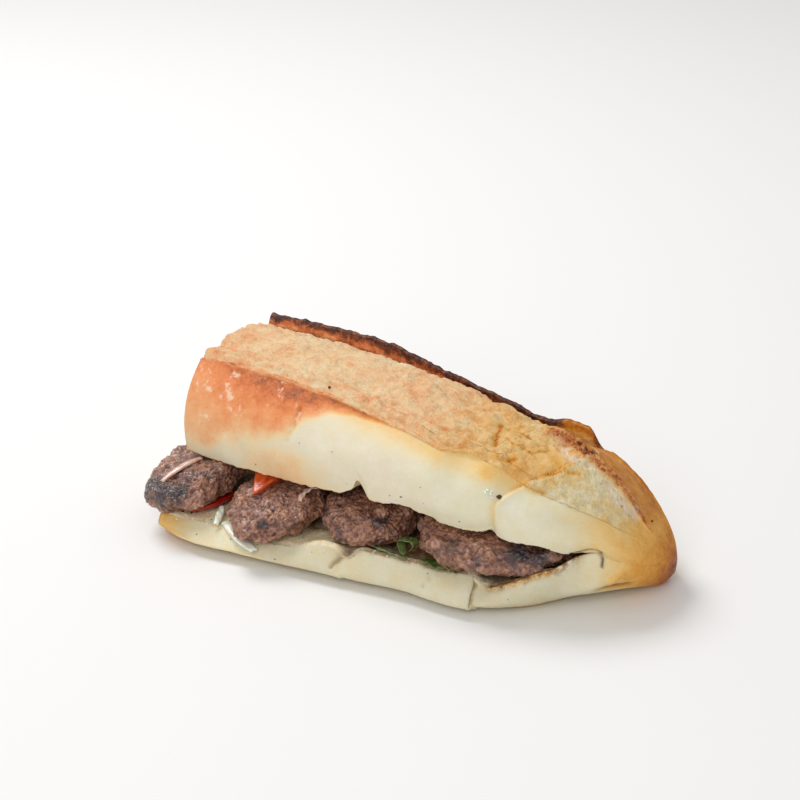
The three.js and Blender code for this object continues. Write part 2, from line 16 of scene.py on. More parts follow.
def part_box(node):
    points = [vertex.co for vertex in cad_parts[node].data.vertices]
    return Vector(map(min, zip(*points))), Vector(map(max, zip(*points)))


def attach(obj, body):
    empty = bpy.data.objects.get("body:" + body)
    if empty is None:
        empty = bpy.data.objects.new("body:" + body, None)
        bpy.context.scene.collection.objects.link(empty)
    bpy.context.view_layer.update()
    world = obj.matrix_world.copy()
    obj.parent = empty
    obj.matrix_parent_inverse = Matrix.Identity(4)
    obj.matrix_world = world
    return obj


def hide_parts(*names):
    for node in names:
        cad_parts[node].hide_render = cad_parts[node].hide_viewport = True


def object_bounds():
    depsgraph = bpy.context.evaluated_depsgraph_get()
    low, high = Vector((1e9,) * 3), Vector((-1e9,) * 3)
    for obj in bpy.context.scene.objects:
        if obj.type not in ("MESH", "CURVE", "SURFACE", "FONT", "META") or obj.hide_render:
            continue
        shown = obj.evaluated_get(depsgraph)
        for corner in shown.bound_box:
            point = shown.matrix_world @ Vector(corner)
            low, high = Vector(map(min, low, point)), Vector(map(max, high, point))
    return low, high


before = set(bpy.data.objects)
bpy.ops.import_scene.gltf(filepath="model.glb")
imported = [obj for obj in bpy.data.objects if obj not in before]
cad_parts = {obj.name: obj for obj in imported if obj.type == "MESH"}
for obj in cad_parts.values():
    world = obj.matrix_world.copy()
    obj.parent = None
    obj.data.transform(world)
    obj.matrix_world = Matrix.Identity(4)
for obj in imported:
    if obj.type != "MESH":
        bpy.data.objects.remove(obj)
cad_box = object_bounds()

MM = 0.001

# The view: direction, lens and where the aimed point shows in the 800 pixel square frame
VIEW_AZIMUTH = 28.5
VIEW_ELEVATION = 25.5
LENS_ANGLE = 20.0
IMAGE_SIDE = 800
AIM_POINT = np.array([100.0, 0.0, 35.0])
AIM_PIXEL = (425.0, 470.0)
PIXELS_PER_MM = 2.55

# Driving dimensions of the loaf
LOAF_LENGTH = 200.0
HEEL_FROM = 118.0
HEEL_HEIGHT = 14.0
MOUTH_NARROWS = 120.0
MOUTH_END = 180.0
HINGE = (28.0, 20.0)
ROOF = 32.5
FLOOR = 10.4

# Lines that run along the loaf: at each station X the place Y, Z of one line of the section
AXIS = [[0, 5, 14], [100, 6, 14], [143, 8, 14], [158, 10.5, 14], [176, 12.3, 14], [200, 15.5, 14]]
BASE_FRONT = [[0, -32, 0], [60, -34, 0], [118, -32, 0], [143, -31, 0], [158, -24, 0],
              [170, -8, 0], [178, 0, 0], [185, 8, 0], [191, 13, 0], [200, 17, 0]]
BASE_BACK = [[0, 40, 0], [118, 42, 0], [200, 40, 0]]
BACK_LOW = [[0, 51, 8], [118, 52, 8], [180, 50, 8], [200, 46, 8]]
BACK_BULGE = [[0, 56, 29], [118, 55, 28], [150, 54, 28], [170, 50.5, 27], [185, 45, 26],
              [200, 40, 25]]
BACK_SHOULDER = [[0, 55, 52], [60, 53, 52], [95, 50, 47], [115, 47, 43], [133, 45, 41],
                 [150, 43.5, 41], [165, 41, 40.5], [180, 39, 38.5], [200, 38, 38]]
EAR = [[0, 49, 65.4], [15, 46, 66.9], [31, 44.5, 67.2], [52, 42, 67.4], [65, 40.5, 66.7],
       [76, 39.5, 64.1], [86, 38.5, 61.8], [96, 37, 60.3], [106, 35, 58.8], [116, 33.5, 57.5],
       [125, 32, 56.3], [133, 31.5, 53.6], [140, 31.4, 53.7], [146, 31.2, 56.2], [153, 31.4, 57],
       [158, 31.8, 56.4], [160, 32.4, 52.4], [162, 33.5, 49.6], [166, 35, 49.6], [175, 35, 49],
       [200, 35, 45]]
BLOOM_BACK = [[0, 43, 61.3], [18, 41, 62.5], [33, 40, 62.2], [51, 38.5, 60.9], [68, 37, 58.7],
              [83, 35.5, 56.5], [99, 33, 56.3], [108, 31, 54.7], [118, 28.5, 52.6], [128, 27, 51.4],
              [137, 26, 50.7], [143, 25, 50], [150, 27, 49.5], [160, 30, 50], [166, 30, 51],
              [175, 29, 51.5], [200, 28, 48]]
GROOVE_DEPTH = [[0, 1.5, 0.8], [80, 2, 1.2], [100, 3.5, 3.5], [130, 4.5, 4.5], [150, 3, 2.5],
                [160, 2, 0.6], [166, 2, 0], [200, 2, 0]]
DOME = [[0, 28, 66.3], [30, 27, 67], [60, 25, 66.5], [90, 24, 64], [110, 22, 60.5],
        [127, 22, 57], [140, 21, 54.5], [150, 22, 54], [160, 23, 54], [170, 20, 56.5], [178, 18, 57],
        [190, 15, 56], [200, 13, 53]]
CREST = [[0, 15, 67.2], [30, 14, 68], [60, 12, 67.5], [90, 11, 65], [110, 11.5, 62.3],
         [127, 13, 59.5], [140, 14.5, 57.6], [147, 15.5, 58.2], [158.6, 12.1, 59.8], [171, 7.2, 60.4],
         [183, 3.1, 60.6], [190, -3, 60.5], [200, -12, 57]]
CREASE = [[0, 8.5, 64.6], [30, 3, 66.2], [60, -1, 65.6], [90, -6, 62.8], [120, -12.5, 59.8],
          [135, -11, 58.4], [150, -10, 56.8], [200, -10, 56.5]]
RIDGE = [[0, -6.2, 64.3], [16, -7.3, 65], [30, -10, 65.5], [43, -11, 65.5], [52, -12.7, 65],
         [67, -14, 64], [83, -17, 62.5], [97, -20, 61], [110, -23, 60], [120, -25.6, 58.5],
         [130, -23.1, 57.6], [142, -24.2, 56.7], [150, -23, 52.5], [200, -23, 52]]
UPPER_LIP = [[0, -18.3, 28.9], [24, -22, 29], [48, -25, 30], [66, -27, 31], [80, -28, 33],
             [83.6, -28.5, 35.2], [86.2, -29, 40], [88.8, -29.2, 37], [91, -29.3, 33.6],
             [96, -29.4, 32.8], [103, -29.5, 33.8], [108, -29.6, 34], [114, -30, 32.9],
             [136, -31.4, 31.1], [142, -31.2, 32], [144, -31.1, 33.4], [147, -31.4, 32],
             [163.5, -31.9, 31], [172.5, -27.6, 28.2], [176.5, -24.6, 29], [180, -23.6, 29.9]]
LOWER_LIP = [[0, -38.5, 9.6], [12, -39, 10.1], [35, -39.6, 9.4], [61, -39.5, 9.7],
             [79, -38, 13.3], [82, -37.6, 12.2], [85, -37, 9.6], [88.5, -36.5, 12.2], [102, -36, 13.4],
             [115, -35.5, 13.6], [127, -35.2, 13], [133, -35.4, 13.9], [139.5, -35.8, 14],
             [141.8, -36, 11.8], [150.5, -36.3, 13], [155.5, -36.4, 15.4], [164, -34.8, 20],
             [169, -32.3, 22.2], [173.3, -28.4, 26], [176.5, -23.9, 27.6], [180, -23.6, 29.9]]
HEEL_SEAM = [[180, -23.6, 29.9], [185, -27, 29.5], [191, -30, 29], [200, -32, 28]]
FRONT_BULGE = [[0, -40, 4.5], [15, -46, 5], [45, -45.6, 4.5], [80, -43.5, 4.5],
               [110, -41.5, 4.8], [143, -42, 5], [158, -36, 6], [170, -29, 8], [180, -26, 9.5],
               [200, -24, 11]]
FLAP_BOW = [[0, 5.9, 0], [40, 6.5, 0], [80, 6.5, 0], [120, 5.5, 0], [150, 6, 0], [200, 7, 0]]
PANEL_EDGE = [[30, 146, 0], [40, 146.8, 0], [46, 147.5, 0], [48, 150, 0], [51, 159, 0],
              [52.5, 165, 0], [54, 172, 0]]
PANEL_RISE = 2.2
CREST_RISE = 2.0
CRUST_CRACKS = [[86, 1.0], [141.2, 1.9]]
# How far down the front flap the orange bake reaches, as a share of its height, at each station
ORANGE_REACH = [[0, 0.92], [10, 0.82], [25, 0.66], [40, 0.55], [53, 0.47], [62, 0.28], [76, 0.12],
                [90, 0.05], [105, 0.02], [200, 0.01]]
# Dents of the front flap: station, share of the flap's height, half sizes of both, and depth
FLAP_DENTS = [[86, 0.86, 2.6, 0.14, 0.6], [29, 0.8, 3, 0.16, 0.9], [40.5, 0.85, 2.2, 0.14, 0.6],
              [108, 0.68, 2.4, 0.16, 0.5], [98, 0.55, 6, 0.2, 0.4], [70, 0.7, 7, 0.2, -0.9],
              [126, 0.7, 8, 0.2, -0.7], [22, 0.9, 4, 0.12, -0.7]]
# Lines of places on the loaf in mm. Each fold and crack has its half width and its depth.
FOLDS = [(0.9, 1.1, [[130.9, 5.5, 58.7], [132.1, -0.6, 58.3], [134.4, -7.3, 57.9], [136.6, -11.3, 57.5]]),
         (0.8, 0.8, [[134.4, 3.8, 58], [138.3, 2.8, 57.5], [142.5, 2.7, 56.9], [146, 1.7, 56.2]]),
         (0.7, 0.7, [[136.6, -2.9, 57.7], [141.1, -5.8, 56.8], [145.1, -6.1, 56.1]]),
         (0.8, 0.6, [[148.1, -8, 55.6], [150.4, -4.4, 55.3], [153.9, 0.8, 54.9]]),
         (1.0, 0.6, [[138.3, -22, 56.5], [142.9, -19, 55.6], [146.1, -14, 55.3]]),
         (0.9, 0.7, [[55.5, -19.6, 59.3], [55.5, -22.6, 55.6], [54.4, -24.6, 52], [53.2, -26.1, 47.7]])]
CRACKS = [(0.8, 1.7, [[82.4, -34.9, 12.3], [84.2, -36.2, 10.5], [83.6, -39.1, 9.3], [81.6, -42.4, 7.3]]),
          (0.8, 1.2, [[84.2, -36.2, 10.5], [86.6, -37, 10.5], [88.6, -36.4, 12]]),
          (0.5, 2.4, [[140.4, -34, 13.6], [141.2, -36.4, 11.2], [141, -38.8, 8.4],
                      [141.6, -41, 5], [141, -37, 0]]),
          (0.4, 0.8, [[122.8, -36.1, 12.3], [121.8, -38.4, 10.2], [121, -40.5, 7.9]]),
          (0.35, 0.7, [[176, -20, 23.5], [174.5, -18.8, 20.1]])]
SLIT_END = [[173, -19.6, 25.3], [175.6, -17.2, 25.7], [178.2, -16.5, 26.9], [181.7, -15.5, 26.8],
            [182.4, -15.1, 26.4], [181.9, -13.6, 24.6], [182.5, -13, 22.2], [182.5, -13.4, 19.6]]
FLAKE = [[185.4, -11.9, 13.3], [186.9, -10.9, 14.7], [189.2, -9.3, 16.3], [190, -8.2, 14.7]]
FLAKE_GAP = [[181, -12, 9.4], [186, -10, 9.8], [191.5, -6, 9.6]]
WHITE_TEARS = [[[153.9, 6.6, 55], [158.3, 4, 54.1], [162.3, 3, 52.6], [167.9, 3, 50.9]],
               [[176.9, 1.4, 45.3], [180, 0.7, 43.1], [183, 0.2, 40.6], [186.9, 1.2, 37],
                [188.4, 2.1, 35.5]]]
RECESS = [[140.5, -27.5, 53.5], [146, -23.4, 52.9], [150.4, -18, 51.5], [153.9, -12.7, 52.5],
          [157.2, -6.4, 53.5], [158.3, 4.1, 54.1]]
PANEL_TEARS = [[[154, -21, 48.6], [157.2, -20, 47.7], [160.3, -18.5, 46.5]],
               [[159, -11, 51.2], [163, -7, 51.2], [167, -3.4, 50]]]

# Rows along the loaf and columns round it: name of each stretch of the section and its columns
ROWS = 226
COLUMNS = {"base": 8, "back": 30, "ear_top": 6, "ear_face": 14, "groove": 5, "dome": 66, "crest": 8,
           "crest_side": 40, "crease": 26, "ridge": 16, "flap": 92, "upper_edge": 6, "roof": 16,
           "hinge_top": 2, "hinge_foot": 2, "floor": 30, "lower_edge": 6, "lower_crust": 44}


# Curves and steps

def ramp(v, low, high):
    """0 below low, 1 above high, and a smooth step between them."""
    u = np.clip((v - low) / (high - low), 0, 1)
    return u * u * (3 - 2 * u)


def mound(v, centre, half):
    """A bell of height 1 at centre that has fallen to about a third at half away."""
    return np.exp(-((v - centre) / half) ** 2)


def mix(a, b, u):
    return a + (b - a) * u


def along(line, x):
    """Smooth curve through the stations of a line: cubic pieces whose slopes are the weighted
    mean of the slopes on both sides of each station."""
    line = np.asarray(line, float)
    at, value = line[:, 0], line[:, 1:]
    slope = np.gradient(value, at, axis=0)
    i = np.clip(np.searchsorted(at, x, side="right") - 1, 0, len(at) - 2)
    h = (at[i + 1] - at[i])[..., None]
    u = np.clip((x - at[i])[..., None] / h, 0, 1)
    return (value[i] * (1 + 2 * u) * (1 - u) ** 2 + slope[i] * h * u * (1 - u) ** 2
            + value[i + 1] * u * u * (3 - 2 * u) - slope[i + 1] * h * u * u * (1 - u))


def through(knots, u):
    """Centripetal Catmull-Rom curve: knots is a list of (rows, 2) places, u the shares along the
    whole curve. Gives (rows, len(u), 2)."""
    p = np.stack(knots)
    p = np.concatenate([[2 * p[0] - p[1]], p, [2 * p[-1] - p[-2]]])
    step = np.sqrt(np.linalg.norm(np.diff(p, axis=0), axis=-1))
    count = len(knots)
    i = np.minimum((u * (count - 1)).astype(int), count - 2)
    w = (u * (count - 1) - i)[:, None, None]
    p0, p1, p2, p3 = p[i], p[i + 1], p[i + 2], p[i + 3]
    d1 = step[i + 1]
    d1 = np.where(d1 < 1e-4, 1, d1)[..., None]
    d0, d2 = step[i][..., None], step[i + 2][..., None]
    d0 = np.where(d0 < 1e-4, d1, d0)
    d2 = np.where(d2 < 1e-4, d1, d2)
    t1 = ((p1 - p0) / d0 - (p2 - p0) / (d0 + d1) + (p2 - p1) / d1) * d1
    t2 = ((p2 - p1) / d1 - (p3 - p1) / (d1 + d2) + (p3 - p2) / d2) * d1
    q = (p1 * (1 + 2 * w) * (1 - w) ** 2 + t1 * w * (1 - w) ** 2
         + p2 * w * w * (3 - 2 * w) - t2 * w * w * (1 - w))
    return q.transpose(1, 0, 2)


def straight(a, b, u):
    """Straight run from a to b, both (rows, 2), at the shares u."""
    return a[:, None] + (b - a)[:, None] * u[None, :, None]


# Random relief

def lattice(cell, seed):
    """A fixed random whole number for each cell of a lattice: its three indices and the seed are
    multiplied by large primes, joined bit by bit and stirred."""
    h = (cell[..., 0] * 73856093) ^ (cell[..., 1] * 19349663) ^ (cell[..., 2] * 83492791)
    h = h ^ (seed * 2654435)
    h = (h ^ (h >> 13)) & 0xFFFFFFFF
    h = (h * 1274126177) & 0xFFFFFFFF
    return h ^ (h >> 16)


def noise(p, size, seed=0):
    """Gradient noise from about -1 to 1 with waves of the given size in mm: at each corner of the
    lattice a random slope, blended by a smooth step between the corners."""
    q = np.asarray(p, float) / size + seed * 0.37
    cell = np.floor(q).astype(np.int64)
    f = q - cell
    w = f * f * f * (f * (f * 6 - 15) + 10)
    total = np.zeros(q.shape[:-1])
    for corner in np.ndindex(2, 2, 2):
        c = np.array(corner)
        h = lattice(cell + c, seed)
        slope = np.stack([(h & 1023), ((h >> 10) & 1023), ((h >> 20) & 1023)], -1) / 511.5 - 1
        share = np.prod(np.where(c == 1, w, 1 - w), axis=-1)
        total += share * np.sum(slope * (f - c), axis=-1)
    return total * 1.7


def rough(p, size, octaves=3, seed=0):
    """Noise with finer noise laid on it, each layer half as large and half as high."""
    return sum(noise(p, size / 2 ** k, seed + k) / 2 ** k for k in range(octaves))


def pebbles(p, size, seed=0):
    """Cell pattern: the distances in cell sizes to the nearest and the second nearest of one
    random point in each cell of a lattice."""
    q = np.asarray(p, float) / size
    cell = np.floor(q).astype(np.int64)
    first = np.full(q.shape[:-1], 9.0)
    second = np.full(q.shape[:-1], 9.0)
    for near in np.ndindex(3, 3, 3):
        c = cell + np.array(near) - 1
        h = lattice(c, seed)
        spot = c + np.stack([(h & 1023), ((h >> 10) & 1023), ((h >> 20) & 1023)], -1) / 1023
        d = np.linalg.norm(q - spot, axis=-1)
        second = np.minimum(second, np.maximum(first, d))
        first = np.minimum(first, d)
    return first, second


def drift(p, size, seed):
    """Noise in all three directions, to move places by."""
    return np.stack([noise(p, size, seed + k) for k in range(3)], -1)


def dome(distance, reach):
    """A dome of height 1 over the middle of each cell, down to 0 at the distance reach."""
    return 1 - np.minimum(distance / reach, 1) ** 2


def wander(x, size, seed):
    """Noise along one line."""
    return noise(np.stack([x, np.full_like(x, seed * 7.3), np.full_like(x, 3.1)], -1), size, seed)


# Meshes

wedge_low, wedge_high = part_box("tomato_wedge")
WEDGE_CORNER = (31.5, -30.6, 30.6)  # its lowest X, lowest Y and highest Z in loaf millimetres
SHIFT = np.array([wedge_low[0] / MM - WEDGE_CORNER[0], wedge_low[1] / MM - WEDGE_CORNER[1],
                  wedge_high[2] / MM - WEDGE_CORNER[2]])


def mesh_piece(name, points, faces, materials, replaced=(), marks=None, face_kind=None):
    """Makes a piece from loaf millimetres, with named numbers on its points for the materials and
    the index of the material on its faces."""
    mesh = bpy.data.meshes.new(name)
    places = (np.asarray(points, float).reshape(-1, 3) + SHIFT) * MM
    mesh.from_pydata(places.tolist(), [], faces if isinstance(faces, list) else faces.tolist())
    for mark, values in (marks or {}).items():
        layer = mesh.attributes.new(mark, "FLOAT", "POINT")
        layer.data.foreach_set("value", values.ravel().astype(float))
    for material in materials:
        mesh.materials.append(material)
    if face_kind is not None:
        mesh.polygons.foreach_set("material_index", face_kind.astype(np.int32))
    mesh.polygons.foreach_set("use_smooth", np.ones(len(mesh.polygons), bool))
    mesh.update()
    piece = bpy.data.objects.new(name, mesh)
    bpy.context.scene.collection.objects.link(piece)
    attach(piece, "root")
    if replaced:
        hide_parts(*replaced)


def ring_faces(rows, columns):
    """Four-sided faces of a grid of rows whose columns close into rings."""
    a = np.arange((rows - 1) * columns).reshape(rows - 1, columns)
    b = np.roll(a, -1, axis=1)
    return np.stack([a, b, b + columns, a + columns], -1).reshape(-1, 4)


def outward_faces(p):
    """Four-sided faces of a grid of rings, turned to look outwards by the sign of the volume that
    they close round the middle of the grid."""
    quads = ring_faces(*p.shape[:2])
    flat = p.reshape(-1, 3) - p.reshape(-1, 3).mean(axis=0)
    a, b, c, d = (flat[quads[:, i]] for i in range(4))
    volume = np.sum(a * np.cross(b, c)) + np.sum(a * np.cross(c, d))
    return quads[:, ::-1] if volume < 0 else quads


def grid_normals(p):
    """Unit normals of a grid of rings, across its row and column steps, all to one side of it."""
    down = np.gradient(p, axis=0)
    round_ = np.roll(p, -1, axis=1) - np.roll(p, 1, axis=1)
    n = np.cross(down, round_)
    return n / np.maximum(np.linalg.norm(n, axis=-1, keepdims=True), 1e-9)


# The loaf

def heel_shrink(x):
    """Width, height above and height below the heel's closing point, as shares of the body's."""
    t = np.clip((x - HEEL_FROM) / (LOAF_LENGTH - HEEL_FROM), 0, 1)
    return np.sqrt(1 - t ** 2.5), (1 - t ** 3) ** 0.72, np.sqrt(1 - t ** 24)


def placed(p, x):
    """Places of the section, drawn in towards the heel's closing point."""
    wide, up, down = heel_shrink(x)
    centre = along(AXIS, x)[:, 0]
    height = np.where(p[:, 1] > HEEL_HEIGHT, up, down)
    return np.stack([centre + (p[:, 0] - centre) * wide,
                     HEEL_HEIGHT + (p[:, 1] - HEEL_HEIGHT) * height], -1)


def line_at(line, x, dy=0.0, dz=0.0):
    return placed(along(line, x) + np.stack([dy + 0 * x, dz + 0 * x], -1), x)


def pushed(p, x, out):
    """Moves places of the section straight away from a point inside the loaf."""
    arm = p - np.stack([along(AXIS, x)[:, 0], np.full_like(x, 30.0)], -1)[:, None]
    reach = np.maximum(np.linalg.norm(arm, axis=-1, keepdims=True), 1e-6)
    return p + arm / reach * out[..., None]


def swelling(x, s):
    """Low swellings of baked dough: a few crossed waves, 20 to 40 mm long."""
    x = x[:, None]
    return (0.35 * np.sin(x / 5.3 + s / 9) + 0.3 * np.sin(x / 8.1 - s / 6.2 + 1.3)
            + 0.25 * np.cos(x / 3.7 + s / 5.1 + 0.4))


def panel_beyond(x, z):
    """How far a place lies beyond the edge of the torn panel at the heel."""
    return x[:, None] - along(PANEL_EDGE, np.clip(z, 30, 54))[..., 0]


def panel_step(x, z):
    """The edge of the torn panel stands proud and the dough beside it lies low."""
    beyond = panel_beyond(x, z)
    fade = np.exp(np.where(beyond > 0, -beyond / 25, beyond / 9))
    return PANEL_RISE * (ramp(beyond, -1.8, 1.8) - 0.5) * fade


def crust_crack(x):
    return sum(step * (0.5 - ramp(x - station, -0.5, 0.5)) * np.exp(-np.abs(x - station) / 7)
               for station, step in CRUST_CRACKS)


def loaf_section(x):
    """The section at each station of x as named stretches of places Y, Z, in order round the
    loaf: base, back, ear, torn top, front flap, lips, the slit's roof and floor, lower crust."""
    share = {name: np.arange(count) / count for name, count in COLUMNS.items()}
    wide = heel_shrink(x)[0]
    opening = np.sqrt(1 - np.clip((x - MOUTH_NARROWS) / (MOUTH_END - MOUTH_NARROWS), 0, 1) ** 2)
    shut = (x >= MOUTH_END)[:, None]
    frayed = opening * (0.45 * wander(x, 4.5, 11) + 0.4 * wander(x, 1.9, 12))
    upper_lip = np.where(shut, line_at(HEEL_SEAM, x), line_at(UPPER_LIP, x, 0, frayed))
    lower_frayed = opening * (0.3 * wander(x, 5, 21) + 0.25 * wander(x, 2.2, 22))
    lower_lip = np.where(shut, line_at(HEEL_SEAM, x), line_at(LOWER_LIP, x, 0, lower_frayed))
    burnt = 1 - ramp(x, 158, 164)
    scallop = burnt * (0.55 * wander(x, 6, 31) + 0.4 * wander(x, 2.4, 32))
    ear = line_at(EAR, x, 0, scallop)
    ear_rim = line_at(EAR, x, -1.6, -0.4 + scallop)
    groove_at = along(GROOVE_DEPTH, x)
    groove = line_at(BLOOM_BACK, x, groove_at[:, 0], -groove_at[:, 1])
    bloom_back = line_at(BLOOM_BACK, x)
    crest_rise = CREST_RISE * ramp(x, 143, 150) * (1 - ramp(x, 186, 198)) * (1 + 0.5 * wander(x, 3, 41))
    crest_top = line_at(CREST, x, 0.8, crest_rise / 2)
    crest_foot = line_at(CREST, x, -0.8, -crest_rise / 2)
    crease = line_at(CREASE, x)
    ridge = line_at(RIDGE, x)
    heelward = ramp(x, 118, 146)
    step_foot = line_at(RIDGE, x, 2.5, mix(-0.3, 0.9, heelward))
    terrace = mix(line_at(RIDGE, x, 5.6, 2.2), mix(ridge, crease, 0.45), heelward[:, None])

    # short of the heel the flap follows the mean of the lip over 12 mm to both sides, so that the
    # notch stays at its edge
    near = np.mean([along(UPPER_LIP, np.clip(x + step, 0, MOUTH_END)) for step in range(-12, 13, 3)],
                   axis=0)
    calm_lip = mix(placed(near, x), upper_lip, ramp(x, 122, 138)[:, None])
    chord = ridge - calm_lip
    sideways = np.stack([-chord[:, 1], chord[:, 0]], -1)
    sideways /= np.maximum(np.linalg.norm(chord, axis=-1, keepdims=True), 1e-6)
    bow = along(FLAP_BOW, x)[:, :1] * wide[:, None]

    def bowed(u):
        return mix(mix(upper_lip, calm_lip, min(1, u / 0.4)), ridge, u) + sideways * bow * 4 * u * (1 - u)

    depth = opening[:, None]
    hinge = mix((upper_lip + lower_lip) / 2, np.array(HINGE), depth)
    hinge_top = hinge + depth * np.array([-2, 2])
    hinge_foot = hinge + depth * np.array([-2, -2])
    roof = mix(hinge[:, 1], ROOF, opening)
    floor = mix(hinge[:, 1], FLOOR, opening)
    upper_edge = upper_lip + depth * np.array([3.2, -0.4])
    lower_edge = lower_lip + depth * np.array([2.6, 0.5])

    def inward(edge, part, z):
        return np.stack([mix(edge[:, 0], hinge[:, 0], part), z], -1)

    bulge = line_at(FRONT_BULGE, x)
    swell = pushed(mix(lower_lip, bulge, 0.5)[:, None], x, 1.6 * wide[:, None])[:, 0]
    base_front = line_at(BASE_FRONT, x)
    part = {
        "base": straight(base_front, line_at(BASE_BACK, x), share["base"]),
        "back": through([line_at(BASE_BACK, x), line_at(BACK_LOW, x), line_at(BACK_BULGE, x),
                         line_at(BACK_SHOULDER, x), ear], share["back"]),
        "ear_top": straight(ear, ear_rim, share["ear_top"]),
        "ear_face": straight(ear_rim, groove, share["ear_face"]),
        "groove": straight(groove, bloom_back, share["groove"]),
        "dome": through([bloom_back, line_at(DOME, x), crest_top], share["dome"]),
        "crest": straight(crest_top, crest_foot, share["crest"]),
        "crest_side": through([crest_foot, mix(crest_foot, crease, 0.5), crease], share["crest_side"]),
        "crease": straight(crease, terrace, share["crease"]),
        "ridge": through([terrace, step_foot, ridge], share["ridge"]),
        "flap": through([ridge, bowed(0.75), bowed(0.5), bowed(0.25), upper_lip], share["flap"]),
        "upper_edge": straight(upper_lip, upper_edge, share["upper_edge"]),
        "roof": through([upper_edge, inward(upper_edge, 0.2, mix(upper_edge[:, 1], roof, 0.85)),
                         inward(upper_edge, 0.5, roof), hinge_top], share["roof"]),
        "hinge_top": straight(hinge_top, hinge, share["hinge_top"]),
        "hinge_foot": straight(hinge, hinge_foot, share["hinge_foot"]),
        "floor": through([hinge_foot, inward(lower_edge, 0.55, floor + 0.8 * opening),
                          inward(lower_edge, 0.12, mix(lower_edge[:, 1], floor, 0.9)), lower_edge],
                         share["floor"]),
        "lower_edge": straight(lower_edge, lower_lip, share["lower_edge"]),
        "lower_crust": through([lower_lip, swell, bulge, base_front], share["lower_crust"]),
    }
    # the swellings' second wave runs round the section: 21 from the ear to the crest, then on
    round_from = {"dome": (0, 21), "crest": (21, 3), "crest_side": (24, 15), "crease": (39, 6)}
    for name, (start, run) in round_from.items():
        part[name] = pushed(part[name], x, swelling(x, start + run * share[name]) * wide[:, None])
    for name in ("crest_side", "crease", "ridge", "flap"):
        part[name] = pushed(part[name], x, panel_step(x, part[name][..., 1]) * wide[:, None])
    crack = crust_crack(x)[:, None] * ramp(share["lower_crust"], 0, 0.15)
    part["lower_crust"] = pushed(part["lower_crust"], x, crack)
    return part


class Loaf:
    """The loaf's surface as a grid of rows along it and columns round it: the smooth places and
    their normals and, once make_bread has added the relief, its points."""

    def __init__(self):
        fine = np.linspace(0, LOAF_LENGTH, 4001)
        density = (1 + 1.6 * mound(fine, 85, 4) + 2.2 * mound(fine, 141.5, 3)
                   + 0.9 * mound(fine, 155, 12) + 0.4 * ramp(fine, 150, 180)
                   + 8 * ramp(fine, 192, 200) ** 3)
        passed = np.concatenate([[0], np.cumsum((density[1:] + density[:-1]) / 2)])
        self.x = np.interp(np.linspace(0, passed[-1], ROWS), passed, fine)
        part = loaf_section(self.x)
        flat = np.concatenate([part[name] for name in COLUMNS], axis=1)
        x = np.broadcast_to(self.x[:, None], flat.shape[:2])
        self.smooth = np.stack([x, flat[..., 0], flat[..., 1]], -1)
        self.from_ = {}
        start = 0
        for name, count in COLUMNS.items():
            self.from_[name] = start
            start += count
        self.count = start
        self.share = np.concatenate([np.arange(c) / c for c in COLUMNS.values()])
        self.column = np.arange(start)
        self.normal = grid_normals(self.smooth)
        if np.sum(self.normal[20, self.columns("flap"), 1]) > 0:
            self.normal = -self.normal

    def columns(self, *names):
        return np.concatenate([np.arange(self.from_[n], self.from_[n] + COLUMNS[n]) for n in names])

    def place(self, x, name, share):
        """The nearest point of the surface at a station and share of a stretch."""
        row = int(np.argmin(np.abs(self.x - x)))
        col = self.from_[name] + int(round(share * COLUMNS[name])) % COLUMNS[name]
        return self.points[row, col]


def band(loaf, first, last, blur=1.0, wobble=0.0, seed=0):
    """1 from the stretch first to the end of the stretch last and 0 elsewhere: a smooth step of
    blur columns at both edges, which wander along the loaf by wobble columns."""
    stray = wobble * (wander(loaf.x, 9, seed + 3) + 0.6 * wander(loaf.x, 2.6, seed + 4))[:, None]
    start = loaf.from_[first]
    end = loaf.from_[last] + COLUMNS[last]
    column = loaf.column[None] + stray
    up = ramp(column - start, -blur, blur) if start else 1
    down = 1 - ramp(column - end, -blur, blur) if end < loaf.count else 1
    return up * down


def line_mark(loaf, stretch, share, half, wobble=0.0, seed=0):
    """A line along the loaf at a share of a stretch, half columns wide, which may wander."""
    stray = wobble * (wander(loaf.x, 8, seed + 5) + 0.6 * wander(loaf.x, 2.2, seed + 6))[:, None]
    return mound(loaf.column[None] + stray, loaf.from_[stretch] + share * COLUMNS[stretch], half)


# Surfaces of the loaf: first and last stretch, blur of the edges, their wandering and its seed
SURFACES = {"top": ("dome", "ridge", 0.9, 0.8, 1), "flap": ("flap", "flap", 0.9, 0.8, 1),
            "lower": ("lower_crust", "lower_crust", 1.2), "base": ("base", "base", 2),
            "inside": ("upper_edge", "lower_edge", 1.0), "back": ("back", "back", 1.5),
            "rim": ("ear_top", "groove", 1.0)}


def stretch_masks(loaf):
    """The masks of the loaf's surfaces, which add up to about 1 at every point."""
    return {name: band(loaf, *facts) for name, facts in SURFACES.items()}


def near_line(q, line, half):
    """A soft line through places on the loaf: 1 on it, and a bell of that half width across it."""
    line = np.asarray(line, float)
    gap = np.full(q.shape[:-1], 1e9)
    for a, b in zip(line[:-1], line[1:]):
        t = np.clip(np.sum((q - a) * (b - a), -1) / np.sum((b - a) ** 2), 0, 1)
        gap = np.minimum(gap, np.linalg.norm(q - a - t[..., None] * (b - a), axis=-1))
    return np.exp(-(gap / half) ** 2)


